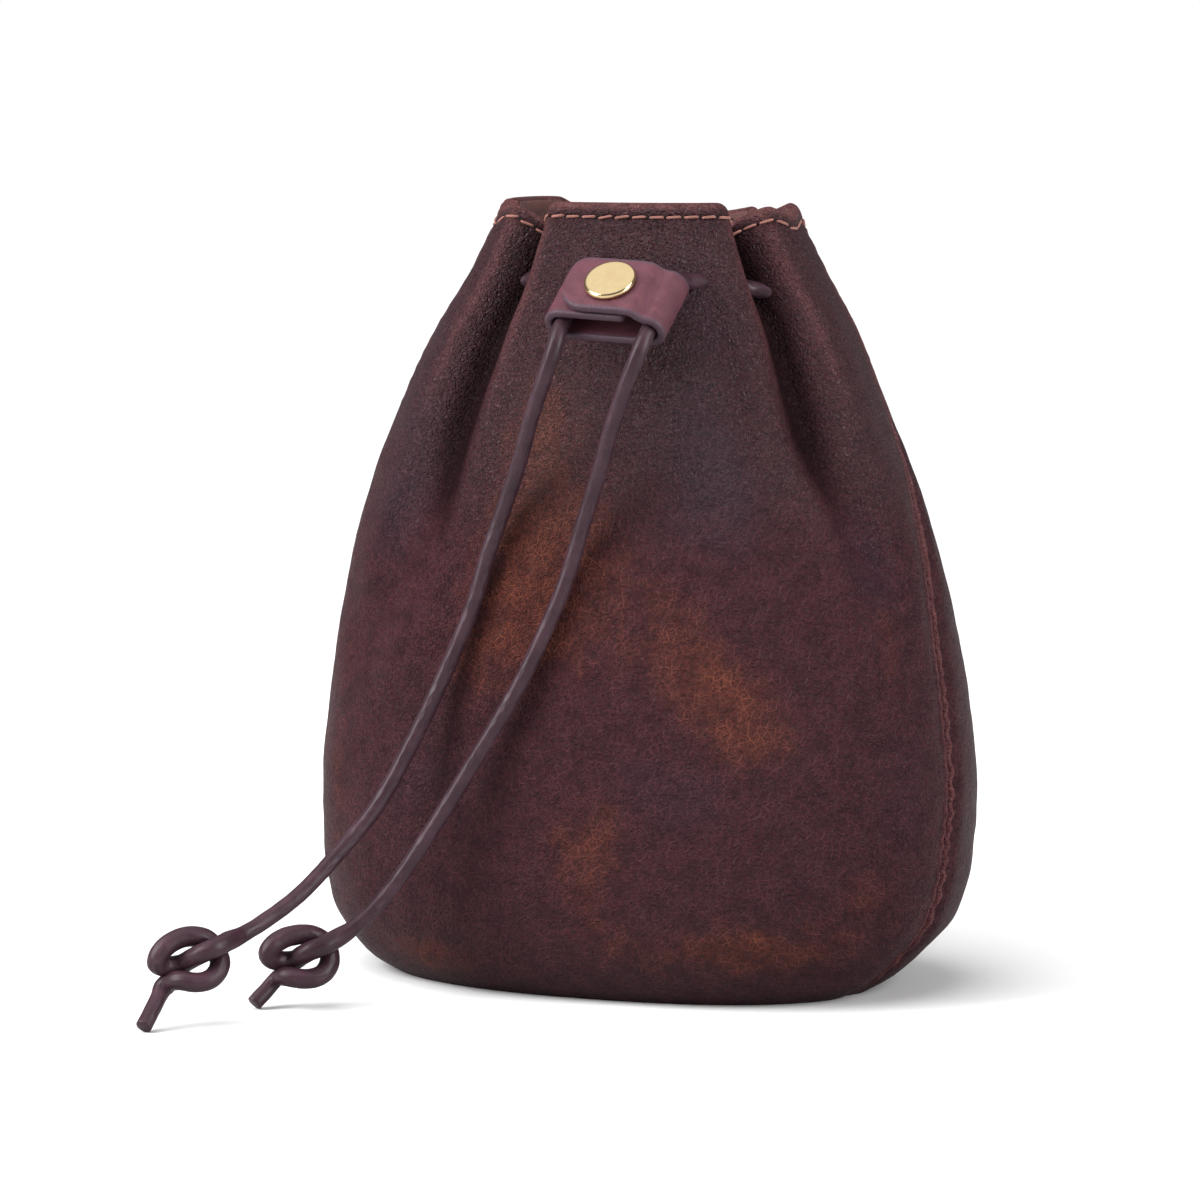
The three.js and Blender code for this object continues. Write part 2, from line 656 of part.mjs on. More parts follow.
function freeRun(side, run) {
  const below = KEEPER_LENGTH / 2 + RUN_GAP;
  const exit = inKeeper(side * cordHalf, 0, -below);
  return [[exit.x, exit.y, exit.z], ...run];
}

// The knot begins a joint gap after the end of its run
function knotRoute(run, knot) {
  const end = new THREE.Vector3(...run[run.length - 1]);
  const first = new THREE.Vector3(...knot[0]);
  const next = new THREE.Vector3(...knot[1]);
  const away = next.clone().sub(first).normalize();
  const start = end.clone().addScaledVector(away, KNOT_GAP);
  return [[start.x, start.y, start.z], ...knot.slice(1)];
}

const bag = new THREE.Group();

function add(name, geometry, colour, roughness, metalness = 0) {
  const material = new THREE.MeshStandardMaterial({ color: colour, roughness, metalness });
  const mesh = new THREE.Mesh(geometry, material);
  mesh.name = name;
  bag.add(mesh);
}

const frontPanel = solid(panelGeometry('front')).subtract(neckHoles);
const backPanel = solid(panelGeometry('back')).subtract(neckHoles);
add('front_panel', geometryOf(frontPanel), 0x4a2a2e, 0.55);
add('back_panel', geometryOf(backPanel), 0x4a2a2e, 0.55);
add('cord_keeper', keeperGeometry(), 0x553740, 0.6);
add('rivet', rivetGeometry(), 0xe9cf94, 0.2, 1);
add('neck_cord', tube(neckCurve, CORD_D, neckSteps), 0x3b2630, 0.5);
add('left_cord', cordGeometry(freeRun(-1, LEFT_RUN)), 0x3b2630, 0.5);
add('right_cord', cordGeometry(freeRun(1, RIGHT_RUN)), 0x3b2630, 0.5);
add('left_knot', knotGeometry(knotRoute(LEFT_RUN, LEFT_KNOT)), 0x3b2630, 0.5);
add('right_knot', knotGeometry(knotRoute(RIGHT_RUN, RIGHT_KNOT)), 0x3b2630, 0.5);

export default bag;
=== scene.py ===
"""Drawstring bag of distressed leather with a riveted cord keeper and two knotted ends."""
import json
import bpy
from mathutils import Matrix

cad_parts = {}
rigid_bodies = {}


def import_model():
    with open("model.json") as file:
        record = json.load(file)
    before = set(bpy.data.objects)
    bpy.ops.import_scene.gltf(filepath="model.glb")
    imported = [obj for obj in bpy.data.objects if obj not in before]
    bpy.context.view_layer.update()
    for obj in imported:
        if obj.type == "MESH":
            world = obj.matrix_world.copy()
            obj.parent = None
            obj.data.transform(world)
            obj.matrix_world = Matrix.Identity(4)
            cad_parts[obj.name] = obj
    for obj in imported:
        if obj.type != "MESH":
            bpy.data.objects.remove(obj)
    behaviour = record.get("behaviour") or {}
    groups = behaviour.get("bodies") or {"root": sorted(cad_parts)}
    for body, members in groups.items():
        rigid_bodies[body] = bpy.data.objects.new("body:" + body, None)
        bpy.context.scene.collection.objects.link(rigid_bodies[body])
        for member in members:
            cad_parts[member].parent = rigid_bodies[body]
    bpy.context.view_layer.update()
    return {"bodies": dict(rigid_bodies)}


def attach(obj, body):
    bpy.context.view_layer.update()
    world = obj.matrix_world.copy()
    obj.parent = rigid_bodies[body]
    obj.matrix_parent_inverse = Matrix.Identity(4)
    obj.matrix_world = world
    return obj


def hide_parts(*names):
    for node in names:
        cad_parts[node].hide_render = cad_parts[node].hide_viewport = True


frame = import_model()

from types import SimpleNamespace

import bmesh
import bpy
import numpy as np
from bpy.props import FloatProperty, FloatVectorProperty, PointerProperty
from mathutils import Matrix, Vector, noise

bl_info = {
    "name": "Drawstring bag",
    "version": (1, 0, 0),
    "blender": (4, 5, 0),
    "location": "3D Viewport > Sidebar > Bag",
    "description": "Builds a gathered leather bag with its keeper, laces and stage",
    "category": "Object",
}

BODY = "drawstring_bag" if "drawstring_bag" in frame["bodies"] else "root"

# Sections of the bag as shares of its height, half width, front and back depth:
# level, width, front, back, lean
SECTIONS = [
    (0.000, 0.747, 0.706, 0.688, -0.041),
    (0.018, 0.816, 0.800, 0.785, -0.041),
    (0.048, 0.882, 0.888, 0.875, -0.036),
    (0.095, 0.959, 0.955, 0.950, -0.022),
    (0.167, 0.996, 0.991, 0.992, -0.007),
    (0.250, 1.000, 1.000, 1.000, 0.001),
    (0.357, 0.978, 0.982, 0.979, 0.000),
    (0.476, 0.932, 0.937, 0.921, -0.003),
    (0.595, 0.864, 0.870, 0.842, -0.011),
    (0.714, 0.766, 0.794, 0.754, -0.014),
    (0.833, 0.638, 0.709, 0.662, -0.001),
    (0.905, 0.541, 0.659, 0.612, 0.007),
    (1.000, 0.429, 0.628, 0.573, 0.018),
]
SQUARENESS = 2.3

# Main folds of the gathered mouth: angles in degrees from the front at the rim, the
# middle and the foot, level of the foot, depth as a share of FOLD_DEPTH, half widths
# in degrees before and after, and drop as a share of RIM_DROP
FOLDS = [
    (-33, -31, -27, 0.46, -0.92, 8, 6, 1.0),
    (57, 52, 68, 0.50, -1.0, 6, 10, 0.86),
    (140, 138, 142, 0.48, -0.88, 8, 8, 0.7),
    (222, 224, 220, 0.49, -0.88, 8, 8, 0.7),
    (-62, -52, -52, 0.50, 0.1, 9, 9, 0.35),
    (84, 77, 74, 0.42, 0.12, 9, 8, 0.4),
    (181, 181, 181, 0.50, 0, 34, 34, 0.55),
    (106, 106, 106, 0.50, 0, 13, 16, 0.42),
]
FOLD_DEPTH = 12
RIM_DROP = 7
FOLD_MIDDLE = 0.72
FOLD_FADE = 1.25
DROP_START = 0.84

# Small dents and swellings of the leather: angle, level, half width across and half
# length along in mm, tilt of the long side in degrees, height in mm
DENTS = [
    (33.0, 0.80, 1.5, 24, -3, -0.55),
    (29.5, 0.80, 1.3, 24, -3, 0.25),
    (36.5, 0.78, 1.4, 24, -4, 0.3),
    (-22.0, 0.84, 1.6, 22, 4, 0.45),
    (-44.0, 0.50, 9, 14, 18, -0.9),
    (-36.0, 0.44, 7, 11, 35, 0.8),
    (-50.0, 0.56, 5, 16, 10, 0.6),
    (72.0, 0.50, 6, 7, -35, 1.0),
    (66.0, 0.545, 2.4, 9, -48, -0.9),
    (-46.0, 0.27, 8, 26, 42, -0.7),
    (60.0, 0.36, 10, 18, -15, 0.5),
    (10.0, 0.60, 12, 20, 0, 0.4),
    (-39.0, 0.60, 6, 22, 12, -1.5),
    (-26.0, 0.62, 4, 26, 6, 0.9),
    (-50.0, 0.44, 9, 8, 40, -0.8),
    (64.0, 0.62, 6, 22, -14, -1.2),
    (26.0, 0.66, 4.5, 30, -6, 1.1),
    (40.0, 0.60, 4.5, 24, -12, -0.9),
    (50.0, 0.62, 4.5, 22, -12, 0.8),
]

# Angles of the two seams in degrees from the front: level, right, left
SEAMS = [
    (0.00, 75, -75),
    (0.05, 78, -78),
    (0.24, 81, -79.5),
    (0.48, 85, -77.5),
    (0.60, 90, -76),
    (0.75, 99, -75),
    (1.00, 100, -75),
]
SEAM_GROOVE = 1.2
SEAM_SPREAD = 4.5
BASE_SEAM_SHARE = 0.8
# Waves of the seam's puckers, in radians over the whole height
PUCKER_WAVES = 168 * 1.55

# Rings of the base and of the rim of a panel
BASE_RINGS = 8
RIM_RINGS = 7
# Extra rows of a panel at its hem, in mm below the rim
HEM_ROWS = (2.2, 2.6, 3.0, 3.4, 3.8, 4.8, 5.4)
# The hem's second ply ends between these distances below the rim, in mm
HEM_END = (5.9, 6.3)
# Height of the stitch row below the rim, in mm
STITCH_BELOW = 3.0
# Distance of each panel's edge from the seam's middle, in mm
PANEL_EASE = 0.15
# Rows at the foot that keep the plain wall thickness
LOW_ROWS = 4
# Rubbed crests of the pleats, in degrees from the front
CRESTS = (-22.0, 47.0, 70.0, -46.0)

# Worn patches of the finish: angle, level, half width and half height in mm, strength
RUST = [
    (-8, 0.72, 9, 18, 0.9),
    (-6, 0.56, 12, 18, 1.0),
    (-14, 0.44, 14, 16, 0.8),
    (14, 0.50, 12, 14, 0.5),
    (22, 0.42, 12, 9, 0.9),
    (30, 0.34, 13, 9, 0.9),
    (2, 0.20, 8, 16, 0.9),
    (-30, 0.05, 14, 5, 1.0),
    (30, 0.08, 26, 7, 1.0),
    (55, 0.16, 12, 10, 0.7),
    (-52, 0.20, 10, 20, 0.6),
    (-60, 0.40, 8, 18, 0.5),
    (62, 0.47, 6, 12, 0.6),
    (78, 0.20, 6, 20, 0.5),
    (160, 0.40, 24, 26, 0.7),
    (205, 0.25, 22, 20, 0.8),
    (120, 0.62, 12, 18, 0.5),
    (240, 0.55, 12, 20, 0.6),
]
PLUM = [
    (24, 0.66, 12, 22, 1.0),
    (30, 0.86, 12, 14, 0.7),
    (-45, 0.62, 10, 22, 0.9),
    (-58, 0.80, 8, 18, 0.7),
    (64, 0.56, 10, 12, 0.9),
    (62, 0.28, 14, 18, 0.6),
    (14, 0.28, 12, 10, 0.8),
    (-30, 0.28, 12, 16, 0.7),
    (130, 0.30, 20, 24, 0.7),
    (190, 0.65, 22, 18, 0.7),
]

# Free ends of the lace from the keeper over the belly, and their knots and tails
LEFT_RUN = [
    (-2.8, -47.0, 139.6), (-4.5, -47.6, 134.2), (-8.3, -46.0, 125.0),
    (-12.4, -43.2, 114.5), (-16.7, -41.2, 104.4), (-20.3, -41.1, 94.8),
    (-23.4, -41.9, 84.0), (-28.6, -43.6, 70.7), (-35.7, -46.8, 54.3),
    (-41.4, -51.7, 41.9), (-46.8, -57.7, 33.5), (-52.7, -65.6, 25.1),
    (-58.1, -72.4, 20.0), (-60.9, -77.2, 17.9),
]
RIGHT_RUN = [
    (16.0, -47.8, 139.0), (13.9, -48.4, 133.6), (9.2, -46.2, 122.7),
    (5.1, -43.9, 111.7), (1.3, -42.7, 101.2), (-1.7, -42.8, 91.5),
    (-4.2, -43.6, 84.6), (-11.3, -45.6, 68.8), (-21.2, -48.0, 51.4),
    (-29.9, -50.6, 36.7), (-37.2, -53.1, 25.4), (-42.3, -55.4, 19.2),
    (-45.4, -57.0, 16.3),
]
LEFT_KNOT = [
    (-61.6, -79.5, 17.5), (-62.0, -81.6, 17.3), (-62.5, -83.5, 16.9),
    (-63.5, -85.3, 16.4), (-65.2, -86.2, 15.6), (-67.0, -86.0, 14.7),
    (-68.8, -85.4, 13.7), (-70.6, -85.0, 12.7), (-72.4, -85.8, 12.3),
    (-73.8, -87.4, 12.3), (-74.4, -89.0, 13.3), (-73.8, -88.9, 15.3),
    (-72.8, -87.8, 16.8), (-71.6, -86.4, 17.7), (-70.1, -85.0, 18.3),
    (-68.4, -83.7, 18.3), (-66.8, -82.5, 17.8), (-65.5, -81.6, 16.5),
    (-64.3, -81.5, 14.7), (-63.3, -82.3, 13.1), (-63.2, -83.6, 11.5),
    (-63.9, -85.1, 10.2), (-65.2, -86.6, 9.6), (-67.0, -87.8, 9.6),
    (-68.9, -88.3, 9.9), (-70.9, -87.8, 9.7), (-72.7, -86.9, 9.0),
    (-73.9, -87.5, 7.8), (-74.0, -89.1, 6.5), (-74.0, -90.8, 5.2),
    (-74.1, -92.5, 3.9), (-74.2, -94.1, 2.6), (-74.4, -95.7, 1.3),
]
RIGHT_KNOT = [
    (-47.4, -58.3, 14.9), (-48.6, -59.6, 14.1), (-49.8, -60.9, 13.4),
    (-51.5, -61.5, 12.7), (-53.1, -61.4, 11.9), (-54.7, -60.9, 11.0),
    (-56.2, -60.4, 10.0), (-58.0, -60.6, 9.6), (-59.4, -61.7, 9.8),
    (-60.4, -63.2, 10.3), (-60.7, -64.3, 11.6), (-60.0, -64.0, 13.2),
    (-59.0, -62.8, 14.2), (-57.8, -61.6, 14.9), (-56.4, -60.4, 15.2),
    (-55.0, -59.2, 15.3), (-53.5, -58.1, 15.0), (-52.1, -57.2, 14.2),
    (-50.9, -56.9, 12.9), (-50.0, -57.1, 11.3), (-49.5, -57.9, 9.7),
    (-49.6, -59.1, 8.3), (-50.3, -60.5, 7.2), (-51.5, -61.8, 6.7),
    (-53.0, -62.9, 6.6), (-54.7, -63.6, 6.8), (-56.5, -63.6, 7.0),
    (-58.1, -62.8, 6.8), (-59.7, -62.0, 6.1), (-60.8, -62.7, 4.8),
    (-61.5, -63.9, 3.6), (-62.3, -65.1, 2.5), (-63.1, -66.3, 1.3),
]

# Route of the lace inside the neck: angle, level, inset in mm
NECK_ROUTE = [
    (-19, 0.905, 4.8), (-34, 0.900, 8.2), (-50, 0.890, 6.3), (-68, 0.884, 6.4),
    (-85, 0.880, 6.4), (-105, 0.878, 6.4), (-128, 0.878, 6.4), (-152, 0.878, 6.4),
    (-180, 0.878, 6.4), (-208, 0.878, 6.4), (-232, 0.878, 6.4), (-255, 0.878, 6.4),
    (-275, 0.880, 6.4), (-292, 0.884, 6.4), (-306, 0.892, 8.4), (-322, 0.902, 5.0),
]
NECK_LEAD = 1.2
NECK_TURN = (1.0, 3.6, -0.6)
KEEPER_ACROSS = 7.7
KEEPER_LEVEL = 0.878
KEEPER_OUT = 8.9
KEEPER_TURN = 4.5
KEEPER_SPACING = 19.3
KEEPER_EASE = 0.4
LAYER_GAP = 0.3
FLAP_END = 10.2
FLAP_CORNERS = (3.2, 6.6)
INNER_END = 4.5


class BagShape(bpy.types.PropertyGroup):
    height: FloatProperty(
        name="Height", description="Floor to the rim of the mouth",
        default=0.168, min=0.05, unit="LENGTH")
    half_width: FloatProperty(
        name="Half width", description="Half of the widest part of the belly",
        default=0.0723, min=0.02, unit="LENGTH")
    front_depth: FloatProperty(
        name="Front depth", description="How far the belly bulges to the front",
        default=0.0446, min=0.01, unit="LENGTH")
    back_depth: FloatProperty(
        name="Back depth", description="How far the belly bulges to the back",
        default=0.0472, min=0.01, unit="LENGTH")
    wall: FloatProperty(
        name="Wall", description="Thickness of the leather",
        default=0.0016, min=0.0005, unit="LENGTH")
    hem_wall: FloatProperty(
        name="Hem", description="Thickness of the turned hem",
        default=0.0028, min=0.001, unit="LENGTH")
    stitch: FloatProperty(
        name="Stitch pitch", description="Distance from one stitch to the next",
        default=0.0037, min=0.001, unit="LENGTH")
    puckers: FloatProperty(
        name="Puckers", description="Height of the puckers along the seams",
        default=0.0003, min=0, unit="LENGTH")


class HardwareShape(bpy.types.PropertyGroup):
    lace: FloatProperty(
        name="Lace", description="Diameter of the round lace",
        default=0.0034, min=0.001, unit="LENGTH")
    knot_lace: FloatProperty(
        name="Lace in the knots", description="Diameter where a knot squeezes it",
        default=0.0042, min=0.001, unit="LENGTH")
    keeper_length: FloatProperty(
        name="Keeper length", description="Length of the keeper along the laces",
        default=0.0153, min=0.005, unit="LENGTH")
    keeper_strip: FloatProperty(
        name="Keeper strip", description="Thickness of the keeper's leather",
        default=0.0017, min=0.0005, unit="LENGTH")
    keeper_tilt: FloatProperty(
        name="Keeper tilt", description="How far the keeper leans from upright",
        default=0.890118, subtype="ANGLE")
    cap: FloatProperty(
        name="Rivet cap", description="Diameter of the rivet's cap",
        default=0.011, min=0.003, unit="LENGTH")
    cap_thick: FloatProperty(
        name="Cap thickness", description="Thickness of the rivet's cap",
        default=0.0013, min=0.0003, unit="LENGTH")


def colour(label, what, value):
    return FloatVectorProperty(
        name=label, description=what, default=value, size=3, min=0, max=1,
        subtype="COLOR")


class BagFinish(bpy.types.PropertyGroup):
    maroon: colour("Maroon", "Main colour of the leather", (0.046, 0.011, 0.0165))
    plum: colour("Plum", "Cooler, darker areas of the leather", (0.04, 0.015, 0.025))
    rust: colour("Rust", "Warm worn areas of the leather", (0.098, 0.0225, 0.015))
    vein: colour("Vein", "Raised fine veins of the grain", (0.105, 0.03, 0.036))
    rust_vein: colour("Rust vein", "Veins in the worn areas", (0.25, 0.07, 0.038))
    worn: colour("Worn edge", "Rubbed hem and seam edges", (0.19, 0.066, 0.066))
    flesh: colour("Flesh side", "Inner side of the leather", (0.150, 0.060, 0.050))
    keeper: colour("Keeper", "Smooth leather of the keeper", (0.12, 0.04, 0.056))
    lace: colour("Lace", "Leather of the lace", (0.034, 0.0145, 0.0215))
    thread: colour("Thread", "Sewing thread of the hem", (0.56, 0.21, 0.16))
    gold: colour("Gold", "Polished cap of the rivet", (0.93, 0.72, 0.40))


class StageLook(bpy.types.PropertyGroup):
    floor: colour("Floor", "Colour of the floor and backdrop", (0.93, 0.93, 0.93))
    key: FloatProperty(
        name="Key light", description="Power of the large light on the left",
        default=11.0, min=0, unit="POWER")
    fill: FloatProperty(
        name="Fill light", description="Power of the light on the right",
        default=9.0, min=0, unit="POWER")
    sun: FloatProperty(
        name="Overhead light", description="Strength of the broad light from above",
        default=3.5, min=0)
    ambient: FloatProperty(
        name="Ambient", description="Light from all round the studio",
        default=0.22, min=0)
    lens: FloatProperty(
        name="Lens", description="Focal length of the camera in millimetres",
        default=140.0, min=20)


def settings():
    return bpy.context.scene.bag_builder


class BagBuilder(bpy.types.PropertyGroup):
    shape: PointerProperty(type=BagShape)
    hardware: PointerProperty(type=HardwareShape)
    finish: PointerProperty(type=BagFinish)
    stage: PointerProperty(type=StageLook)


# Surface of the leather, worked in millimetres


def column(rows, k):
    return np.array([row[k] for row in rows], float)


def lookup(xs, ys, at):
    """Smooth value between the rows of a table, with no overshoot."""
    slope = np.diff(ys) / np.diff(xs)
    tangent = np.empty_like(ys)
    tangent[0], tangent[-1] = slope[0], slope[-1]
    a, b = slope[:-1], slope[1:]
    both = np.where(a * b > 0, a + b, 1)
    tangent[1:-1] = np.where(a * b > 0, 2 * a * b / both, 0)
    at = np.clip(at, xs[0], xs[-1])
    i = np.clip(np.searchsorted(xs, at) - 1, 0, len(xs) - 2)
    span = xs[i + 1] - xs[i]
    t = (at - xs[i]) / span
    return (
        (2 * t**3 - 3 * t**2 + 1) * ys[i] + (t**3 - 2 * t**2 + t) * span * tangent[i]
        + (3 * t**2 - 2 * t**3) * ys[i + 1] + (t**3 - t**2) * span * tangent[i + 1])


def smooth_step(low, high, value):
    t = np.clip((value - low) / (high - low), 0, 1)
    return t * t * (3 - 2 * t)


def degrees_apart(a, b):
    return (a - b + 180) % 360 - 180


def section(level, k):
    return lookup(column(SECTIONS, 0), column(SECTIONS, k), level)


def outline(angle, level):
    """Point and in-plane normal of the smooth outline, before the folds."""
    shape = settings().shape
    half = 1000 * shape.half_width * section(level, 1)
    lean = 1000 * shape.half_width * section(level, 4)
    s, c = np.sin(np.radians(angle)), np.cos(np.radians(angle))
    depth = np.where(
        c >= 0, 1000 * shape.front_depth * section(level, 2),
        1000 * shape.back_depth * section(level, 3))
    x = np.sign(s) * np.abs(s) ** (2 / SQUARENESS) * half
    y = -np.sign(c) * np.abs(c) ** (2 / SQUARENESS) * depth
    gx = np.sign(x) * np.abs(x / half) ** (SQUARENESS - 1) / half
    gy = np.sign(y) * np.abs(y / depth) ** (SQUARENESS - 1) / depth
    g = np.hypot(gx, gy)
    return x + lean, y, gx / g, gy / g


def seam_angle(level, side):
    return lookup(column(SEAMS, 0), column(SEAMS, 1 if side == "right" else 2), level)


def girth(level):
    """Millimetres of leather for a degree of turn."""
    shape = settings().shape
    half = 1000 * shape.half_width * section(level, 1)
    return np.radians(0.5 * (half + 1000 * shape.front_depth * section(level, 2)))


def patches(rows, angle, level):
    """Soft patches laid on the leather, from a table of their places and sizes."""
    total = np.zeros(np.broadcast(angle, level).shape)
    height = 1000 * settings().shape.height
    for at, high, across, along, strength in rows:
        u = degrees_apart(angle, at) * girth(level) / across
        v = (level - high) * height / along
        total = total + strength * np.exp(-(u**2 + v**2))
    return total


def dents(angle, level):
    total = np.zeros(np.broadcast(angle, level).shape)
    height = 1000 * settings().shape.height
    for at, high, across, along, tilt, depth in DENTS:
        u = degrees_apart(angle, at) * girth(level)
        v = (level - high) * height
        s, c = np.sin(np.radians(tilt)), np.cos(np.radians(tilt))
        total = total + depth * np.exp(
            -(((u * c - v * s) / across) ** 2 + ((u * s + v * c) / along) ** 2))
    return total


def fold_bump(angle, level, turns, low, before, after):
    """Rise of a fold from 0 to 1 across its line, which runs from the rim to its foot."""
    rim, middle, foot = turns
    stops = np.array([low, FOLD_MIDDLE, 1.0])
    route = lookup(stops, np.array([foot, middle, rim], float), level)
    apart = degrees_apart(angle, route)
    return np.exp(-((apart / np.where(apart < 0, before, after)) ** 2))


def skin(angle, level, relief=0.0):
    """Outer surface of the leather; relief is pushed out along its normal."""
    angle = np.asarray(angle, float)
    level = np.asarray(level, float)
    x, y, nx, ny = outline(angle, level)
    push = np.zeros(np.broadcast(angle, level).shape) + relief
    drop = np.zeros(push.shape)
    for rim, middle, foot, low, depth, before, after, fall in FOLDS:
        bump = fold_bump(angle, level, (rim, middle, foot), low, before, after)
        fade = np.maximum(0, (level - low) / (1 - low)) ** FOLD_FADE
        push = push + FOLD_DEPTH * depth * fade * bump
        drop = drop + RIM_DROP * fall * bump * smooth_step(DROP_START, 1, level)
    shallow = 1 - 0.5 * smooth_step(0.6, 0.85, level)
    for side in ("right", "left"):
        apart = degrees_apart(angle, seam_angle(level, side))
        push = push - SEAM_GROOVE * shallow * np.exp(-((apart / SEAM_SPREAD) ** 2))
    z = 1000 * settings().shape.height * level - drop
    return np.stack([x + nx * push, y + ny * push, z + 0 * push], -1)


def fold_depth(angle, level):
    """Share of the full depth of the valleys at a place, from 0 to 1."""
    total = np.zeros(np.broadcast(angle, level).shape)
    for rim, middle, foot, low, depth, before, after, _ in FOLDS:
        if depth < 0:
            bump = fold_bump(angle, level, (rim, middle, foot), low, before, after)
            total = np.maximum(total, bump * smooth_step(low, low + 0.25, level))
    return total


def unit(v):
    return v / np.linalg.norm(v, axis=-1, keepdims=True)


def skin_normal(angle, level):
    low, high = np.maximum(0, level - 0.004), np.minimum(1, level + 0.004)
    along = skin(angle + 0.4, level) - skin(angle - 0.4, level)
    rising = skin(angle, high) - skin(angle, low)
    return unit(np.cross(along, rising))


# Meshes


def lumps(points, size, octaves, seed):
    """Seeded noise from -1 to 1 at points in millimetres, for lumps of that size."""
    flat = points.reshape(-1, 3) / size + seed
    values = [noise.fractal(Vector(p), 1.0, 2.0, octaves) for p in flat.tolist()]
    return np.array(values).reshape(points.shape[:-1])


def grid_mesh(name, points, uv, layers=None, wrap=False, inner_from=None, caps=False):
    """A grid of points in millimetres as a mesh in metres, joined where its sides meet."""
    rows, columns = points.shape[:2]
    bm = bmesh.new()
    bmesh.ops.create_grid(
        bm, x_segments=columns - 1, y_segments=rows - 1, size=1, calc_uvs=True)
    bm.verts.ensure_lookup_table()
    places = [
        (round((v.co.y + 1) / 2 * (rows - 1)), round((v.co.x + 1) / 2 * (columns - 1)))
        for v in bm.verts]
    uv_layer = bm.loops.layers.uv.verify()
    for face in bm.faces:
        face.smooth = True
        for loop in face.loops:
            r, c = places[loop.vert.index]
            loop[uv_layer].uv = uv[r][c]
        lowest = min(places[v.index][0] for v in face.verts)
        if inner_from is not None and lowest >= inner_from:
            face.material_index = 1
    for label, values in (layers or {}).items():
        layer = bm.verts.layers.float.new(label)
        for v in bm.verts:
            r, c = places[v.index]
            v[layer] = float(values[r][c])
    scaled = points * 0.001
    for v in bm.verts:
        r, c = places[v.index]
        v.co = scaled[r][c]
    if wrap or inner_from is not None:
        bmesh.ops.remove_doubles(bm, verts=bm.verts[:], dist=2e-6)
    if caps:
        bmesh.ops.holes_fill(bm, edges=[e for e in bm.edges if e.is_boundary], sides=0)
    bmesh.ops.recalc_face_normals(bm, faces=bm.faces[:])
    mesh = bpy.data.meshes.new(name)
    bm.to_mesh(mesh)
    bm.free()
    mesh.uv_layers[0].name = "skin"
    return mesh


def place(name, mesh, materials, slot, *nodes):
    """Puts a finished mesh in the scene, on the bag's body and in place of its nodes."""
    piece = bpy.data.objects.new(name, mesh)
    bpy.context.scene.collection.objects.link(piece)
    for material in materials:
        mesh.materials.append(material)
    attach(piece, BODY)
    if nodes:
        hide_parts(*nodes)
    return piece


def column_angles(level, start, end, count):
    """Angles of a panel's columns: closer at the valleys and beside the seams."""
    fine = 900
    share = (np.arange(fine) + 0.5) / fine
    angle = start[0] + (end[0] - start[0]) * share
    weight = np.ones(fine)
    for rim, _, _, _, depth, *_ in FOLDS:
        if depth < -0.5:
            weight += 2.4 * np.exp(-((degrees_apart(angle, rim) / 13) ** 2))
    for edge in (0, 1):
        weight += 7 * np.exp(-((share - edge) / 0.022) ** 2)
    sums = np.concatenate([[0], np.cumsum(weight)])
    goals = np.linspace(0, sums[-1], count)
    shares = np.interp(goals, sums, np.arange(fine + 1) / fine)
    return start[1] + (end[1] - start[1]) * shares[None, :], shares


def seam_relief(angle, level, side):
    """Turned edge of the front panel, rolled strip of the back one, and puckers."""
    total = np.zeros(np.broadcast(angle, level).shape)
    pucker = 1000 * settings().shape.puckers
    for which in ("right", "left"):
        apart = degrees_apart(angle, seam_angle(level, which)) * girth(level)
        from_seam = np.abs(apart)
        wave = np.sin(level * PUCKER_WAVES + 2.2 * np.sin(level * 31))
        strength = pucker * (0.35 + smooth_step(0.55, 0.25, level))
        if side == "front":
            total += 0.42 * np.exp(-(((from_seam - 1.5) / 0.9) ** 2))
            total -= 0.75 * np.exp(-((from_seam / 0.5) ** 2))
            total += strength * wave * np.exp(-((from_seam - 2.4) / 2.4) ** 2) * 0.6
        else:
            total += 0.55 * np.exp(-(((from_seam - 1.35) / 0.75) ** 2))
            total -= 0.75 * np.exp(-((from_seam / 0.42) ** 2))
            total -= 0.5 * np.exp(-(((from_seam - 3.4) / 1.3) ** 2))
            total += strength * wave * np.exp(-((from_seam - 1.9) / 1.9) ** 2)
    return total


def hem_relief(level):
    """The hem's roll above its row of stitches, and the dip under the thread."""
    height = 1000 * settings().shape.height
    below = (1 - level) * height
    roll = 0.22 * np.exp(-(((below - 1.4) / 1.1) ** 2))
    dip = -0.32 * np.exp(-(((below - STITCH_BELOW) / 0.5) ** 2))
    edge = -0.12 * np.exp(-(((below - 5.2) / 0.9) ** 2))
    return roll + dip + edge


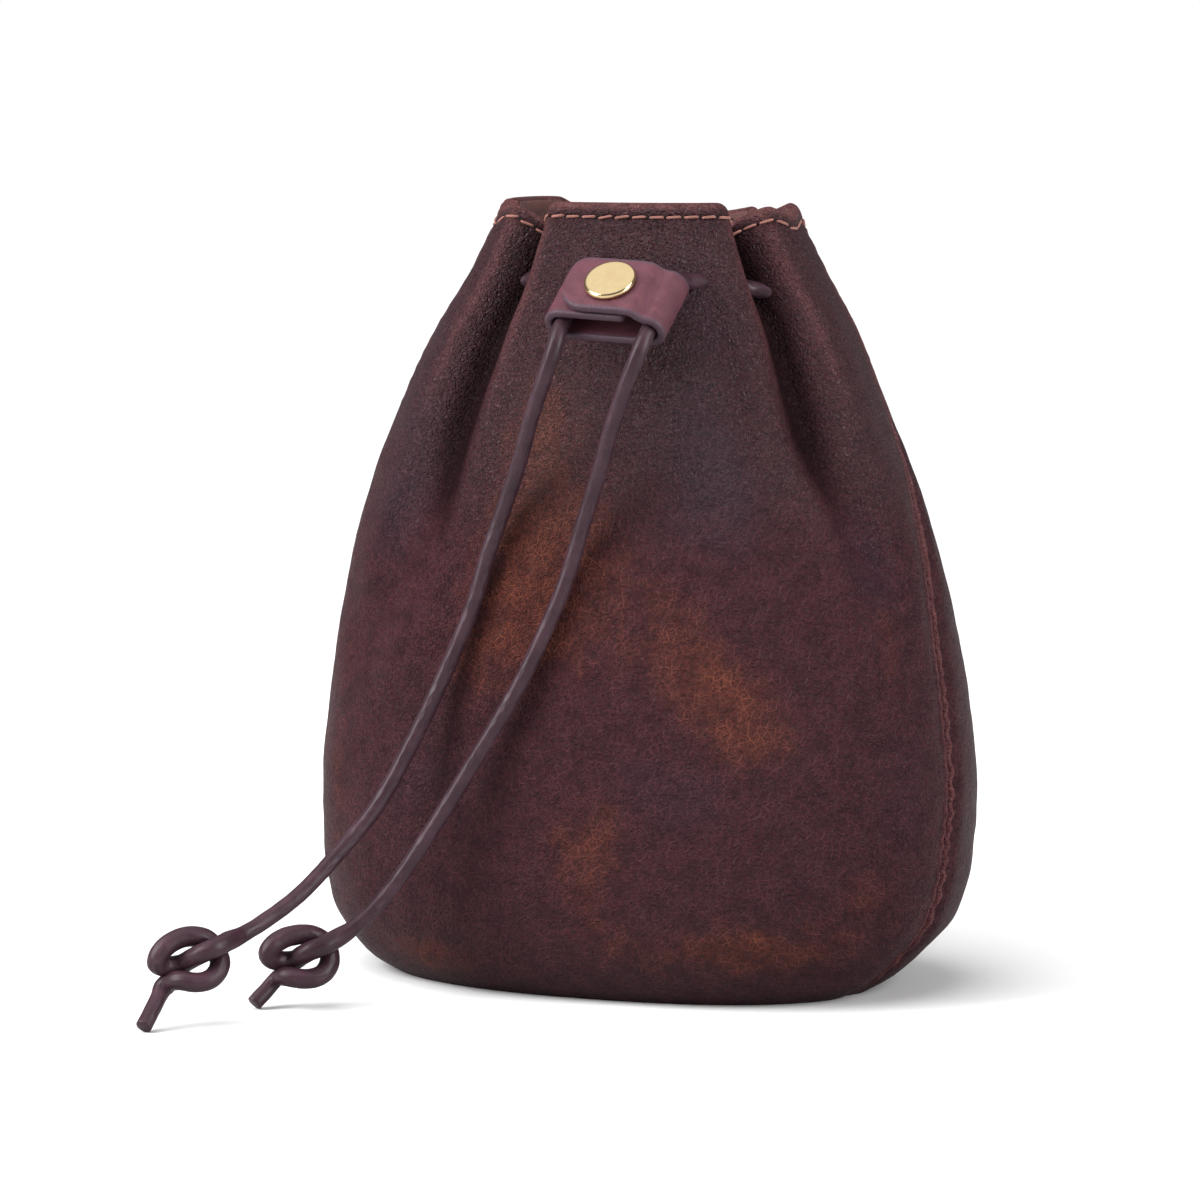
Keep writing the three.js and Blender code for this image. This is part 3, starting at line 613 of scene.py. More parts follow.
def panel_mesh(name, side, columns, rows):
    """Outer skin, rolled rim, hem and inner skin of one panel, as one closed sheet."""
    shape = settings().shape
    height = 1000 * shape.height
    wall, hem = 1000 * shape.wall, 1000 * shape.hem_wall
    turn = 360 if side == "back" else 0

    def ends(level):
        right, left = seam_angle(level, "right"), seam_angle(level, "left")
        return (left, right) if side == "front" else (right, left + turn)

    roll = hem / 2
    top = 1 - roll / height
    share = np.linspace(0, 1, rows)
    levels = top * (0.72 * share + 0.28 * share**2)
    levels = np.sort(np.concatenate(
        [levels, 1 - np.array(HEM_ROWS) / height]))
    levels = levels[:, None]
    start, end = ends(levels)
    first, last = ends(np.array([1.0]))
    angle, shares = column_angles(levels, (first[0], start), (last[0], end), columns)
    level = levels + 0 * angle
    smooth = skin(angle, level)
    fade = smooth_step(0, 0.05, level)
    relief = seam_relief(angle, level, side) * (0.4 + 0.6 * fade) + hem_relief(level)
    relief = relief + dents(angle, level)
    relief = relief + fade * (
        0.45 * lumps(smooth, 26, 2, 3.1) + 0.16 * lumps(smooth, 8, 3, 7.7))
    outer = skin(angle, level, relief)
    outer[..., 2] = np.maximum(outer[..., 2], 0)
    normal = skin_normal(angle, level)
    # the two panels stand a hair apart along the seam
    along = unit(skin(angle + 0.4, level) - skin(angle - 0.4, level))
    outer[:, 0] += PANEL_EASE * along[:, 0]
    outer[:, -1] -= PANEL_EASE * along[:, -1]
    # base: from the seam line under the bag to the lowest ring
    ring = outer[0]
    away = -PANEL_EASE if side == "front" else PANEL_EASE
    seam_y = (ring[0, 1] + ring[-1, 1]) / 2 + away
    cosine = (1 - np.cos(np.pi * shares)) / 2
    seam_x = BASE_SEAM_SHARE * (ring[0, 0] + (ring[-1, 0] - ring[0, 0]) * cosine)
    seam = np.stack([seam_x, seam_y + 0 * seam_x, 0 * seam_x], -1)
    shares_in = np.linspace(0, 1, BASE_RINGS + 1)[:-1]
    base = np.stack([seam + (ring - seam) * t for t in shares_in])
    # rim: half a circle over the top of the hem
    flat = flat_of(normal[-1])
    middle = outer[-1] - flat * roll
    turns = np.linspace(0, np.pi, RIM_RINGS + 2)[1:-1]
    rim = np.stack([
        middle + flat * roll * np.cos(a) + np.array([0, 0, roll]) * np.sin(a)
        for a in turns])
    # inner skin: the hem's second ply, its cut edge and the wall
    below = (1 - level) * height
    thick = wall + (hem - wall) * smooth_step(HEM_END[1], HEM_END[0], below)
    plain = skin(angle, level, 0.8 * dents(angle, level))
    inward = unit(normal * np.array([1, 1, 0.35]))
    inner = plain - inward * thick[..., None]
    inner[-1] = middle - flat * roll
    ground = wall * smooth_step(0, 0.02, level)
    ground[:LOW_ROWS] = wall
    inner[0] = ring - flat_of(normal[0]) * wall * 1.2
    inner[..., 2] = np.maximum(inner[..., 2], ground)
    inner[:, 0], inner[:, -1] = outer[:, 0], outer[:, -1]
    under = np.stack([seam + (inner[0] - seam) * t for t in shares_in])
    under[1:, :, 2] = wall
    under[:, 0], under[:, -1] = base[:, 0], base[:, -1]
    grid = np.concatenate([base, outer, rim, inner[::-1], under[::-1]])
    # pattern coordinates: real lengths along the leather, in metres
    across = np.linalg.norm(np.diff(plain, axis=1), axis=-1)
    u = np.concatenate([np.zeros((len(levels), 1)), np.cumsum(across, 1)], 1)
    u = u - u[:, [columns // 2]]
    up = np.linalg.norm(np.diff(plain, axis=0), axis=-1)
    v = np.concatenate([np.zeros((1, columns)), np.cumsum(up, 0)], 0)
    low_v = (shares_in - 1)[:, None] * np.linalg.norm(ring - seam, axis=-1)
    u_all = np.concatenate([
        np.repeat(u[:1], BASE_RINGS, 0), u, np.repeat(u[-1:], RIM_RINGS, 0), u[::-1],
        np.repeat(u[:1], BASE_RINGS, 0)])
    high = v[-1:]
    v_all = np.concatenate([
        low_v, v, high + roll * turns[:, None], 2 * high + np.pi * roll - v[::-1],
        2 * high + np.pi * roll - low_v[::-1]])
    uv = np.stack([u_all, v_all], -1) * 0.001

    # wear of the finish
    def all_over(values, rim_value=0.0, inside=0.0):
        return np.concatenate([
            np.repeat(values[:1], BASE_RINGS, 0), values,
            np.full((RIM_RINGS, columns), rim_value), np.full(values.shape, inside),
            np.full((BASE_RINGS, columns), inside)])

    right, left = seam_angle(level, "right"), seam_angle(level, "left")
    near = np.minimum(
        np.abs(degrees_apart(angle, right)), np.abs(degrees_apart(angle, left)))
    from_seam = near * girth(level)
    worn = 0.75 * np.exp(-(((from_seam - 1.3) / 0.8) ** 2))
    worn = np.maximum(worn, 0.55 * np.exp(-((below - 0.6) / 1.0) ** 2))
    crest = np.zeros_like(worn)
    for at in CRESTS:
        crest = np.maximum(crest, np.exp(-((degrees_apart(angle, at) / 2.6) ** 2)))
    worn = np.maximum(worn, 0.4 * crest * smooth_step(0.68, 0.9, level))
    layers = {
        "rust": all_over(patches(RUST, angle, level), 0.4),
        "plum": all_over(patches(PLUM, angle, level)),
        "worn": all_over(worn, 0.6),
        "neck": all_over(smooth_step(0.5, 0.75, level), 1.0),
        # deep is the depth of the fold valleys; the leather's material uses it to paint shade
        # in the valleys
        "deep": all_over(fold_depth(angle, level)),
    }
    inner_from = BASE_RINGS + len(levels) + RIM_RINGS - 1
    return grid_mesh(name, grid, uv, layers, inner_from=inner_from)


def flat_of(v):
    return unit(v * np.array([1, 1, 0]))


def smooth_path(points, step):
    """Points of an even step along a smooth curve through the given ones."""
    p = np.array(points, float)
    ends = np.concatenate([[2 * p[0] - p[1]], p, [2 * p[-1] - p[-2]]])
    dense = []
    for i in range(1, len(ends) - 2):
        a, b, c, d = ends[i - 1:i + 3]
        gaps = [max(np.linalg.norm(q - r), 1e-6) ** 0.5 for q, r in ((b, a), (c, b), (d, c))]
        t1 = (b - a) / gaps[0] - (c - a) / (gaps[0] + gaps[1]) + (c - b) / gaps[1]
        t2 = (c - b) / gaps[1] - (d - b) / (gaps[1] + gaps[2]) + (d - c) / gaps[2]
        t1, t2 = t1 * gaps[1], t2 * gaps[1]
        for t in np.linspace(0, 1, 24, endpoint=False):
            dense.append(
                (2 * t**3 - 3 * t**2 + 1) * b + (t**3 - 2 * t**2 + t) * t1
                + (3 * t**2 - 2 * t**3) * c + (t**3 - t**2) * t2)
    dense.append(p[-1])
    dense = np.array(dense)
    run = np.concatenate([[0], np.cumsum(np.linalg.norm(np.diff(dense, axis=0), axis=1))])
    count = max(2, int(round(run[-1] / step)) + 1)
    at = np.linspace(0, run[-1], count)
    return np.stack([np.interp(at, run, dense[:, k]) for k in range(3)], 1), run[-1]


def carried_frames(path):
    """Two directions across a path that turn as little as possible along it."""
    tangent = unit(np.gradient(path, axis=0))
    side = np.cross(tangent[0], [0, 0, 1.0])
    if np.linalg.norm(side) < 0.1:
        side = np.cross(tangent[0], [0, 1.0, 0])
    sides = [side / np.linalg.norm(side)]
    for t in tangent[1:]:
        s = sides[-1] - t * np.dot(sides[-1], t)
        sides.append(s / np.linalg.norm(s))
    sides = np.array(sides)
    return tangent, sides, np.cross(tangent, sides)


def lace_mesh(name, path, radius, sides=20, seed=1.0):
    """Round lace along a path, a little squarish, with small dents and cut ends."""
    tangent, a, b = carried_frames(path)
    length = np.concatenate([[0], np.cumsum(np.linalg.norm(np.diff(path, axis=0), axis=1))])
    turn = np.linspace(0, 2 * np.pi, sides + 1)
    square = 1 + 0.022 * np.cos(4 * turn)[None, :]
    r = np.asarray(radius)[:, None] * square
    ring = path[:, None] + r[..., None] * (
        np.cos(turn)[None, :, None] * a[:, None] + np.sin(turn)[None, :, None] * b[:, None])
    out = unit(ring - path[:, None])
    ring = ring + out * (0.045 * lumps(ring, 2.6, 2, seed))[..., None]
    ring[:, -1] = ring[:, 0]
    # cut ends: a last ring a little smaller and further out
    start = path[0] + (ring[0] - path[0]) * 0.86 - tangent[0] * 0.12
    end = path[-1] + (ring[-1] - path[-1]) * 0.86 + tangent[-1] * 0.12
    grid = np.concatenate([[start], ring, [end]])
    around = np.asarray(radius).mean() * turn
    v = np.concatenate([[-0.3], length, [length[-1] + 0.3]])
    uv = np.stack(np.meshgrid(around, v), -1) * 0.001
    return grid_mesh(name, grid, uv, wrap=True, caps=True)


# Keeper's own frame: x across, out from the wall, up along the laces


def keeper_frame():
    shape, hardware = settings().shape, settings().hardware
    wall = 1000 * shape.front_depth * float(section(np.array(KEEPER_LEVEL), 2))
    at = Vector((KEEPER_ACROSS, -wall - KEEPER_OUT, KEEPER_LEVEL * 1000 * shape.height))
    lean = Matrix.Rotation(-hardware.keeper_tilt, 4, "X")
    return Matrix.Translation(at) @ lean @ Matrix.Rotation(np.radians(KEEPER_TURN), 4, "Y")


def in_keeper(points):
    """Points given as across, out, up in the keeper's frame, in the row frame."""
    m = np.array(keeper_frame())
    p = np.asarray(points, float) * np.array([1, -1, 1])
    return p @ m[:3, :3].T + m[:3, 3]


def keeper_sizes():
    """Strip, radius of its loops, step to its second layer, length and half spacing."""
    h = settings().hardware
    strip = 1000 * h.keeper_strip
    loop = 500 * h.lace + KEEPER_EASE + strip / 2
    return SimpleNamespace(
        strip=strip, loop=loop, layer=strip + LAYER_GAP, length=1000 * h.keeper_length,
        half=KEEPER_SPACING / 2)


def keeper_line():
    """Middle line of the strip across the laces, in the keeper's frame."""
    size = keeper_sizes()
    loop, layer, half = size.loop, size.layer, size.half
    line = [(INNER_END, loop)]
    for k in range(0, 17):
        a = np.pi / 2 + np.pi * k / 16
        line.append((-half + loop * np.cos(a), loop * np.sin(a)))
    for k in range(0, 17):
        a = -np.pi / 2 + np.pi * k / 16
        line.append((half + loop * np.cos(a), loop * np.sin(a)))
    line += [(half - 1.6, loop + 0.35 * layer), (half - 2.9, loop + 0.85 * layer)]
    line += [(half - 4.2, loop + layer), (-FLAP_END, loop + layer)]
    return np.array(line)


def keeper_mesh():
    """A strip wrapped round both laces and over its own inner end, with soft edges."""
    size = keeper_sizes()
    strip, length = size.strip, size.length
    fine, total = smooth_path([(x, y, 0) for x, y in keeper_line()], 0.1)
    largest = max(FLAP_CORNERS)
    run = np.concatenate([
        np.arange(0, total - largest, 0.45),
        total - largest * (1 - np.sin(np.linspace(0, np.pi / 2, 18)[::-1]))])
    run = np.unique(np.round(run, 4))
    at = np.linspace(0, total, len(fine))
    path = np.stack([np.interp(run, at, fine[:, k]) for k in range(3)], 1)
    tangent = unit(np.gradient(path, run, axis=0))
    across = np.stack([-tangent[:, 1], tangent[:, 0], 0 * run], 1)
    # half widths above and below: the flap has two rounded corners, the large one low
    left = total - run
    halves = []
    for corner in FLAP_CORNERS:
        round_in = np.clip(corner - left, 0, corner)
        trimmed = corner - np.sqrt(corner**2 - round_in**2)
        halves.append(length / 2 - trimmed - 0.25 * np.exp(-run / 0.35))
    edge = 0.5
    # cross section of the strip: a slim rectangle with rounded edges
    section_points = []
    for cx, cy, a0 in ((1, 1, 0), (-1, 1, 90), (-1, -1, 180), (1, -1, 270)):
        for k in range(5):
            a = np.radians(a0 + 22.5 * k)
            section_points.append((cx, cy, np.cos(a), np.sin(a)))
    flat = np.linspace(-1, 1, 15)[1:-1]
    order = []
    for i, (cx, cy, c, s) in enumerate(section_points):
        order.append(("corner", cx, cy, c, s))
        if i == 4:
            order += [("flat", -f, 1, 0, 1) for f in flat]
        if i == 14:
            order += [("flat", f, -1, 0, -1) for f in flat]
    order.append(order[0])
    rows = []
    for k in range(len(path)):
        ring = []
        t = strip / 2
        for kind, cx, cy, c, s in order:
            w = halves[0][k] if cx > 0 else halves[1][k]
            if kind == "corner":
                u = cx * (w - edge) + c * edge
                h = cy * (t - edge) + s * edge
            else:
                u = cx * (w - edge)
                h = cy * t
            p = path[k] + across[k] * h
            ring.append((p[0], p[1], u))
        rows.append(ring)
    rows = np.array(rows)
    first = rows[0] + (rows[0].mean(0) - rows[0]) * np.array([0.0, 0.35, 0.03])
    last = rows[-1] + (rows[-1].mean(0) - rows[-1]) * np.array([0.0, 0.35, 0.03])
    first[:, 0] += 0.3
    last[:, 0] -= 0.3
    rows = np.concatenate([[first], rows, [last]])
    grid = in_keeper(rows)
    run = np.concatenate([[-0.3], run, [total + 0.3]])
    cut = np.array([1.0 if kind == "corner" else 0.0 for kind, *_ in order])
    cut_grid = np.repeat(cut[None], len(run), 0)
    cut_grid[[0, 1, -2, -1]] = 1.0
    around = np.array([cx * length / 2 for _, cx, *_ in order])
    uv = np.stack(np.meshgrid(around, run), -1) * 0.001
    return grid_mesh(
        "keeper", grid, uv, {"cut": cut_grid}, wrap=True, caps=True)


def rivet_mesh():
    """Rivet turned on its axis: foot, post and a thin cap with a rounded rim."""
    hardware = settings().hardware
    size = keeper_sizes()
    strip, loop, layer = size.strip, size.loop, size.layer
    cap, thick = 500 * hardware.cap, 1000 * hardware.cap_thick
    top = loop + layer + strip / 2 + 0.3
    foot = -loop - strip / 2 - 0.3
    profile = [
        (0.0, foot - 0.8), (3.4, foot - 0.8), (3.85, foot - 0.65), (4.0, foot - 0.35),
        (3.9, foot - 0.08), (3.7, foot), (2.0, foot), (2.0, top), (cap - 0.55, top - 0.12),
        (cap - 0.15, top - 0.05), (cap - 0.02, top + 0.22 * thick),
        (cap, top + 0.42 * thick), (cap - 0.07, top + 0.64 * thick),
        (cap - 0.24, top + 0.84 * thick), (cap - 0.52, top + 0.96 * thick),
        (cap - 0.85, top + 0.985 * thick), (cap - 1.3, top + 0.99 * thick),
        (cap * 0.5, top + 0.995 * thick), (0.0, top + thick)]
    bm = bmesh.new()
    verts = [bm.verts.new((x * 0.001, 0, z * 0.001)) for x, z in profile]
    edges = [bm.edges.new(pair) for pair in zip(verts, verts[1:])]
    bmesh.ops.spin(
        bm, geom=verts + edges, cent=(0, 0, 0), axis=(0, 0, 1), dvec=(0, 0, 0),
        angle=2 * np.pi, steps=96, use_merge=True)
    bmesh.ops.remove_doubles(bm, verts=bm.verts[:], dist=2e-6)
    bmesh.ops.recalc_face_normals(bm, faces=bm.faces[:])
    for face in bm.faces:
        face.smooth = True
    outward = Matrix.Rotation(np.pi / 2, 4, "X")
    metres = keeper_frame().copy()
    metres.translation *= 0.001
    bmesh.ops.transform(bm, matrix=metres @ outward, verts=bm.verts[:])
    mesh = bpy.data.meshes.new("rivet")
    bm.to_mesh(mesh)
    bm.free()
    return mesh


def stitch_row():
    """Places of the hem's stitches: middle, direction along and direction out."""
    height = 1000 * settings().shape.height
    pitch = 1000 * settings().shape.stitch
    level = 1 - STITCH_BELOW / height
    angle = np.arange(-180, 180, 0.25)
    points = skin(angle, level + 0 * angle)
    steps = np.linalg.norm(np.diff(points, axis=0, append=points[:1]), axis=1)
    run = np.cumsum(steps) - steps
    total = steps.sum()
    count = int(round(total / pitch))
    at = (np.arange(count) + 0.5) * total / count
    angles = np.interp(at, run, angle)
    middle = skin(angles, level + 0 * angles, hem_relief(np.array(level)))
    half = 0.5 * np.interp(at, run, np.gradient(angle) / steps)
    ahead = skin(angles + half, level + 0 * angles) - skin(angles - half, level + 0 * angles)
    return middle, unit(ahead), skin_normal(angles, level + 0 * angles), total / count


def stitches_mesh():
    """Hem stitches: short threads, each going down into its two holes."""
    middle, ahead, out, pitch = stitch_row()
    rng = np.random.default_rng(11)
    sides = 8
    shares = np.linspace(-1, 1, 9)
    rise = 0.34 * np.sqrt(np.maximum(0, 1 - shares**4)) - 0.30 * shares**6
    bm = bmesh.new()
    run_layer = bm.verts.layers.float.new("run")
    for m, t, n in zip(middle, ahead, out):
        tilt = rng.normal(0.09, 0.05)
        half = pitch * rng.uniform(0.40, 0.45)
        along = unit(t + tilt * np.array([0, 0, 1.0]))
        path = m + shares[:, None] * half * along + rise[:, None] * n
        path = path + rng.normal(0, 0.04, 3)
        radii = 0.27 * (1 - 0.35 * shares**8) * rng.uniform(0.93, 1.07)
        _, a, b = carried_frames(path)
        rings = []
        for k in range(len(path)):
            circle = bmesh.ops.create_circle(bm, segments=sides, radius=1.0)["verts"]
            for i, v in enumerate(circle):
                s = 2 * np.pi * i / sides
                v.co = (path[k] + radii[k] * (np.cos(s) * a[k] + np.sin(s) * b[k])) * 0.001
                v[run_layer] = 0.001 * half * (shares[k] + 1) + 0.0002 * s
            rings.append([e for v in circle for e in v.link_edges])
        for low, high in zip(rings, rings[1:]):
            bmesh.ops.bridge_loops(bm, edges=list(set(low + high)))
    bmesh.ops.holes_fill(bm, edges=[e for e in bm.edges if e.is_boundary], sides=0)
    bmesh.ops.recalc_face_normals(bm, faces=bm.faces[:])
    for face in bm.faces:
        face.smooth = True
    mesh = bpy.data.meshes.new("stitches")
    bm.to_mesh(mesh)
    bm.free()
    return mesh


def hole_shades_mesh():
    """Painted shade of the needle's holes: a flat near-black blob at each hole, one between
    each two stitches.
    """
    middle, ahead, out, pitch = stitch_row()
    bm = bmesh.new()
    for m, t, n in zip(middle, ahead, out):
        at, up = m + 0.5 * pitch * t, np.cross(t, n)
        made = bmesh.ops.create_uvsphere(bm, u_segments=10, v_segments=6, radius=0.00042)
        rows = [(t[i], n[i], up[i], 0) for i in range(3)]
        basis = Matrix((*rows, (0, 0, 0, 1)))
        squash = Matrix.Diagonal((0.9, 0.30, 0.75, 1))
        bmesh.ops.transform(
            bm, matrix=Matrix.Translation(Vector(at * 0.001)) @ basis @ squash,
            verts=made["verts"])
    bmesh.ops.recalc_face_normals(bm, faces=bm.faces[:])
    for face in bm.faces:
        face.smooth = True
    mesh = bpy.data.meshes.new("painted_hole_shades")
    bm.to_mesh(mesh)
    bm.free()
    return mesh


# Materials


class Finish:
    """A material's node tree, with short ways to add nodes."""

    def __init__(self, name):
        self.material = bpy.data.materials.new(name)
        self.material.use_nodes = True
        self.tree = self.material.node_tree
        self.tree.nodes.clear()
        self.out = self.tree.nodes.new("ShaderNodeOutputMaterial")

    def add(self, kind, inputs=None, **props):
        made = self.tree.nodes.new(kind)
        for key, value in props.items():
            setattr(made, key, value)
        for key, value in (inputs or {}).items():
            if isinstance(value, bpy.types.NodeSocket):
                self.tree.links.new(value, made.inputs[key])
            else:
                made.inputs[key].default_value = value
        return made

    def attribute(self, name):
        return self.add("ShaderNodeAttribute", attribute_name=name).outputs["Fac"]

    def uv(self):
        return self.add("ShaderNodeUVMap", uv_map="skin").outputs["UV"]

    def place(self):
        return self.add("ShaderNodeTexCoord").outputs["Object"]

    def noise(self, vector, scale, detail=3.0, rough=0.55, distortion=0.0):
        return self.add("ShaderNodeTexNoise", {
            "Vector": vector, "Scale": scale, "Detail": detail, "Roughness": rough,
            "Distortion": distortion}).outputs["Fac"]

    def cells(self, vector, scale, feature="DISTANCE_TO_EDGE"):
        return self.add("ShaderNodeTexVoronoi", {
            "Vector": vector, "Scale": scale}, feature=feature,
            voronoi_dimensions="2D").outputs["Distance"]

    def ease(self, value, low, high, to_low=0.0, to_high=1.0):
        return self.add("ShaderNodeMapRange", {
            "Value": value, "From Min": low, "From Max": high, "To Min": to_low,
            "To Max": to_high}, interpolation_type="SMOOTHSTEP").outputs["Result"]

    def sum(self, *terms):
        """Adds pairs of a value and its weight."""
        total = None
        for value, weight in terms:
            if total is None:
                total = self.add("ShaderNodeMath", {0: value, 1: weight}, operation="MULTIPLY")
            else:
                total = self.add("ShaderNodeMath", {
                    0: value, 1: weight, 2: total.outputs[0]}, operation="MULTIPLY_ADD")
        return total.outputs[0]

    def times(self, a, b):
        return self.add("ShaderNodeMath", {0: a, 1: b}, operation="MULTIPLY").outputs[0]

    def most(self, a, b):
        return self.add("ShaderNodeMath", {0: a, 1: b}, operation="MAXIMUM").outputs[0]

    def mix(self, factor, a, b, blend="MIX"):
        return self.add("ShaderNodeMix", {0: factor, 6: a, 7: b}, data_type="RGBA",
                        blend_type=blend, clamp_factor=True).outputs[2]

    def warp(self, vector, scale, amount):
        stir = self.add("ShaderNodeTexNoise", {"Vector": vector, "Scale": scale, "Detail": 2.0})
        centred = self.add("ShaderNodeVectorMath", {
            0: stir.outputs["Color"], 1: (0.5, 0.5, 0.5)}, operation="SUBTRACT").outputs[0]
        return self.add("ShaderNodeVectorMath", {
            0: centred, 1: (amount,) * 3, 2: vector}, operation="MULTIPLY_ADD").outputs[0]

    def bump(self, height, metres, strength=1.0, below=None):
        inputs = {"Height": height, "Distance": metres, "Strength": strength}
        if below is not None:
            inputs["Normal"] = below
        return self.add("ShaderNodeBump", inputs).outputs["Normal"]

    def finish(self, **sockets):
        shader = self.add("ShaderNodeBsdfPrincipled", sockets)
        self.tree.links.new(shader.outputs[0], self.out.inputs[0])
        return self.material


def rgba(value):
    return (value[0], value[1], value[2], 1.0)


def bag_leather():
    f, c = Finish("distressed_leather"), settings().finish
    uv = f.uv()
    rust_at, plum_at = f.attribute("rust"), f.attribute("plum")
    worn_at, neck, deep = f.attribute("worn"), f.attribute("neck"), f.attribute("deep")
    clouds = f.noise(uv, 62.0, 6.0, 0.62)
    fine_clouds = f.noise(uv, 240.0, 5.0, 0.65)
    rust = f.ease(f.sum((rust_at, 0.62), (clouds, 0.75), (fine_clouds, 0.45)), 0.80, 1.35)
    plum = f.ease(f.sum((plum_at, 0.6), (f.noise(uv, 48.0, 4.0), 0.8)), 0.55, 1.05)
    large = f.cells(f.warp(uv, 420.0, 0.0010), 560.0)
    small = f.cells(f.warp(uv, 800.0, 0.0007), 1250.0)
    large_vein = f.ease(large, 0.01, 0.11, 1.0, 0.0)
    small_vein = f.ease(small, 0.01, 0.14, 0.65, 0.0)
    net = f.most(large_vein, small_vein)
    broken = f.ease(f.noise(uv, 190.0, 3.0), 0.38, 0.58)
    ground = f.mix(plum, rgba(c.maroon), rgba(c.plum))
    ground = f.mix(f.times(rust, 0.8), ground, rgba(c.rust))
    mottle = f.noise(uv, 900.0, 3.0, 0.6)
    ground = f.mix(f.ease(mottle, 0.35, 0.7, 0.0, 0.55), ground, (0.009, 0.004, 0.005, 1.0))
    vein_colour = f.mix(rust, rgba(c.vein), rgba(c.rust_vein))
    shown = f.times(f.times(net, broken), f.ease(neck, 0.0, 1.0, 0.62, 0.30))
    colour_out = f.mix(shown, ground, vein_colour)
    scratch = f.cells(f.add("ShaderNodeMapping", {
        "Vector": f.warp(uv, 60.0, 0.010), "Rotation": (0, 0, 0.6),
        "Scale": (1.0, 0.22, 1.0)}).outputs[0], 170.0)
    scratch = f.times(f.ease(scratch, 0.0, 0.03, 0.5, 0.0), f.ease(fine_clouds, 0.5, 0.68))
    colour_out = f.mix(scratch, colour_out, vein_colour)
    rubbed = f.times(worn_at, f.ease(fine_clouds, 0.25, 0.65, 0.4, 1.0))
    colour_out = f.mix(rubbed, colour_out, rgba(c.worn))
    # painted shade: the fold valleys are darkened towards near black by their depth
    shade = f.ease(deep, 0.25, 0.9, 0.0, 0.75)
    colour_out = f.mix(shade, colour_out, (0.005, 0.003, 0.0035, 1))
    pores = f.noise(uv, 2600.0, 2.0, 0.6)
    wrinkles = f.noise(f.warp(uv, 120.0, 0.006), 560.0, 3.0, 0.6, 1.2)
    pebbles = f.ease(f.cells(f.warp(uv, 300.0, 0.0016), 900.0), 0.0, 0.30)
    rough = f.sum((clouds, 0.16), (mottle, 0.16), (rust, 0.10), (1.0, 0.24))
    shine = f.times(f.ease(deep, 0.2, 0.8, 1.0, 0.25), f.ease(neck, 0.0, 1.0, 0.16, 0.34))
    normal = f.bump(f.noise(uv, 120.0, 3.0), 0.0009, 0.5)
    normal = f.bump(wrinkles, 0.00075, 0.9, normal)
    normal = f.bump(f.times(pebbles, f.ease(neck, 0.0, 1.0, 0.45, 1.0)), 0.00026, 0.9, normal)
    normal = f.bump(net, 0.00020, 1.0, normal)
    normal = f.bump(pores, 0.00007, 0.6, normal)
    return f.finish(**{
        "Base Color": colour_out, "Roughness": rough, "Normal": normal,
        "Specular IOR Level": shine})


def flesh_leather():
    f, c = Finish("flesh_side"), settings().finish
    uv = f.uv()
    fibres = f.noise(f.warp(uv, 300.0, 0.002), 1500.0, 4.0, 0.7)
    clouds = f.noise(uv, 90.0, 4.0, 0.6)
    dark = tuple(0.35 * v for v in c.flesh) + (1.0,)
    tone = f.mix(f.ease(clouds, 0.3, 0.7), dark, rgba(c.flesh))
    tone = f.mix(f.ease(fibres, 0.4, 0.7, 0.0, 0.5), tone, rgba(c.worn))
    normal = f.bump(fibres, 0.00025, 0.8)
    return f.finish(**{
        "Base Color": tone, "Roughness": f.ease(fibres, 0, 1, 0.95, 0.75),
        "Normal": normal, "Sheen Weight": 0.15})


def keeper_leather():
    f, c = Finish("keeper_leather"), settings().finish
    uv, cut = f.uv(), f.attribute("cut")
    clouds = f.noise(uv, 260.0, 4.0, 0.6)
    grain = f.noise(uv, 2200.0, 3.0, 0.65)
    cells = f.cells(f.warp(uv, 700.0, 0.0006), 1700.0)
    dark = tuple(0.55 * v for v in c.keeper) + (1.0,)
    tone = f.mix(f.ease(clouds, 0.3, 0.7, 0.0, 0.55), rgba(c.keeper), dark)
    streak = f.ease(f.noise(f.warp(uv, 200.0, 0.004), 480.0, 2.0), 0.55, 0.75, 0.0, 0.35)
    tone = f.mix(streak, tone, rgba(c.worn))
    # the cut edges and their rounded bevels are tinted bluish grey: partly the burnished edge's
    # own colour, partly a painted highlight along the bevels
    tone = f.mix(f.ease(cut, 0.45, 1.0, 0.0, 0.8), tone, (0.072, 0.046, 0.064, 1.0))
    normal = f.bump(clouds, 0.0004, 0.35)
    normal = f.bump(f.ease(cells, 0.0, 0.25), 0.00006, 0.5, normal)
    normal = f.bump(grain, 0.00005, 0.5, normal)
    return f.finish(**{
        "Base Color": tone, "Roughness": f.sum((clouds, 0.2), (cut, -0.12), (1.0, 0.40)),
        "Normal": normal, "Specular IOR Level": 0.3})


def lace_leather():
    f, c = Finish("lace_leather"), settings().finish
    uv = f.uv()
    stretched = f.add("ShaderNodeMapping", {
        "Vector": uv, "Scale": (1.0, 0.35, 1.0)}).outputs[0]
    clouds = f.noise(uv, 160.0, 4.0, 0.6)
    grain = f.noise(stretched, 1500.0, 3.0, 0.65)
    light = tuple(min(1.0, 2.3 * v) for v in c.lace) + (1.0,)
    tone = f.mix(f.ease(clouds, 0.35, 0.75, 0.0, 0.55), rgba(c.lace), light)
    rub = f.ease(f.noise(stretched, 420.0, 4.0, 0.7), 0.56, 0.72, 0.0, 0.5)
    tone = f.mix(rub, tone, (0.115, 0.058, 0.066, 1.0))
    dents = f.ease(f.cells(stretched, 620.0, "F1"), 0.05, 0.35)
    normal = f.bump(dents, 0.00014, 0.5)
    normal = f.bump(grain, 0.00007, 0.5, normal)
    return f.finish(**{
        "Base Color": tone, "Roughness": f.sum((clouds, 0.22), (1.0, 0.30)),
        "Normal": normal, "Specular IOR Level": 0.35})


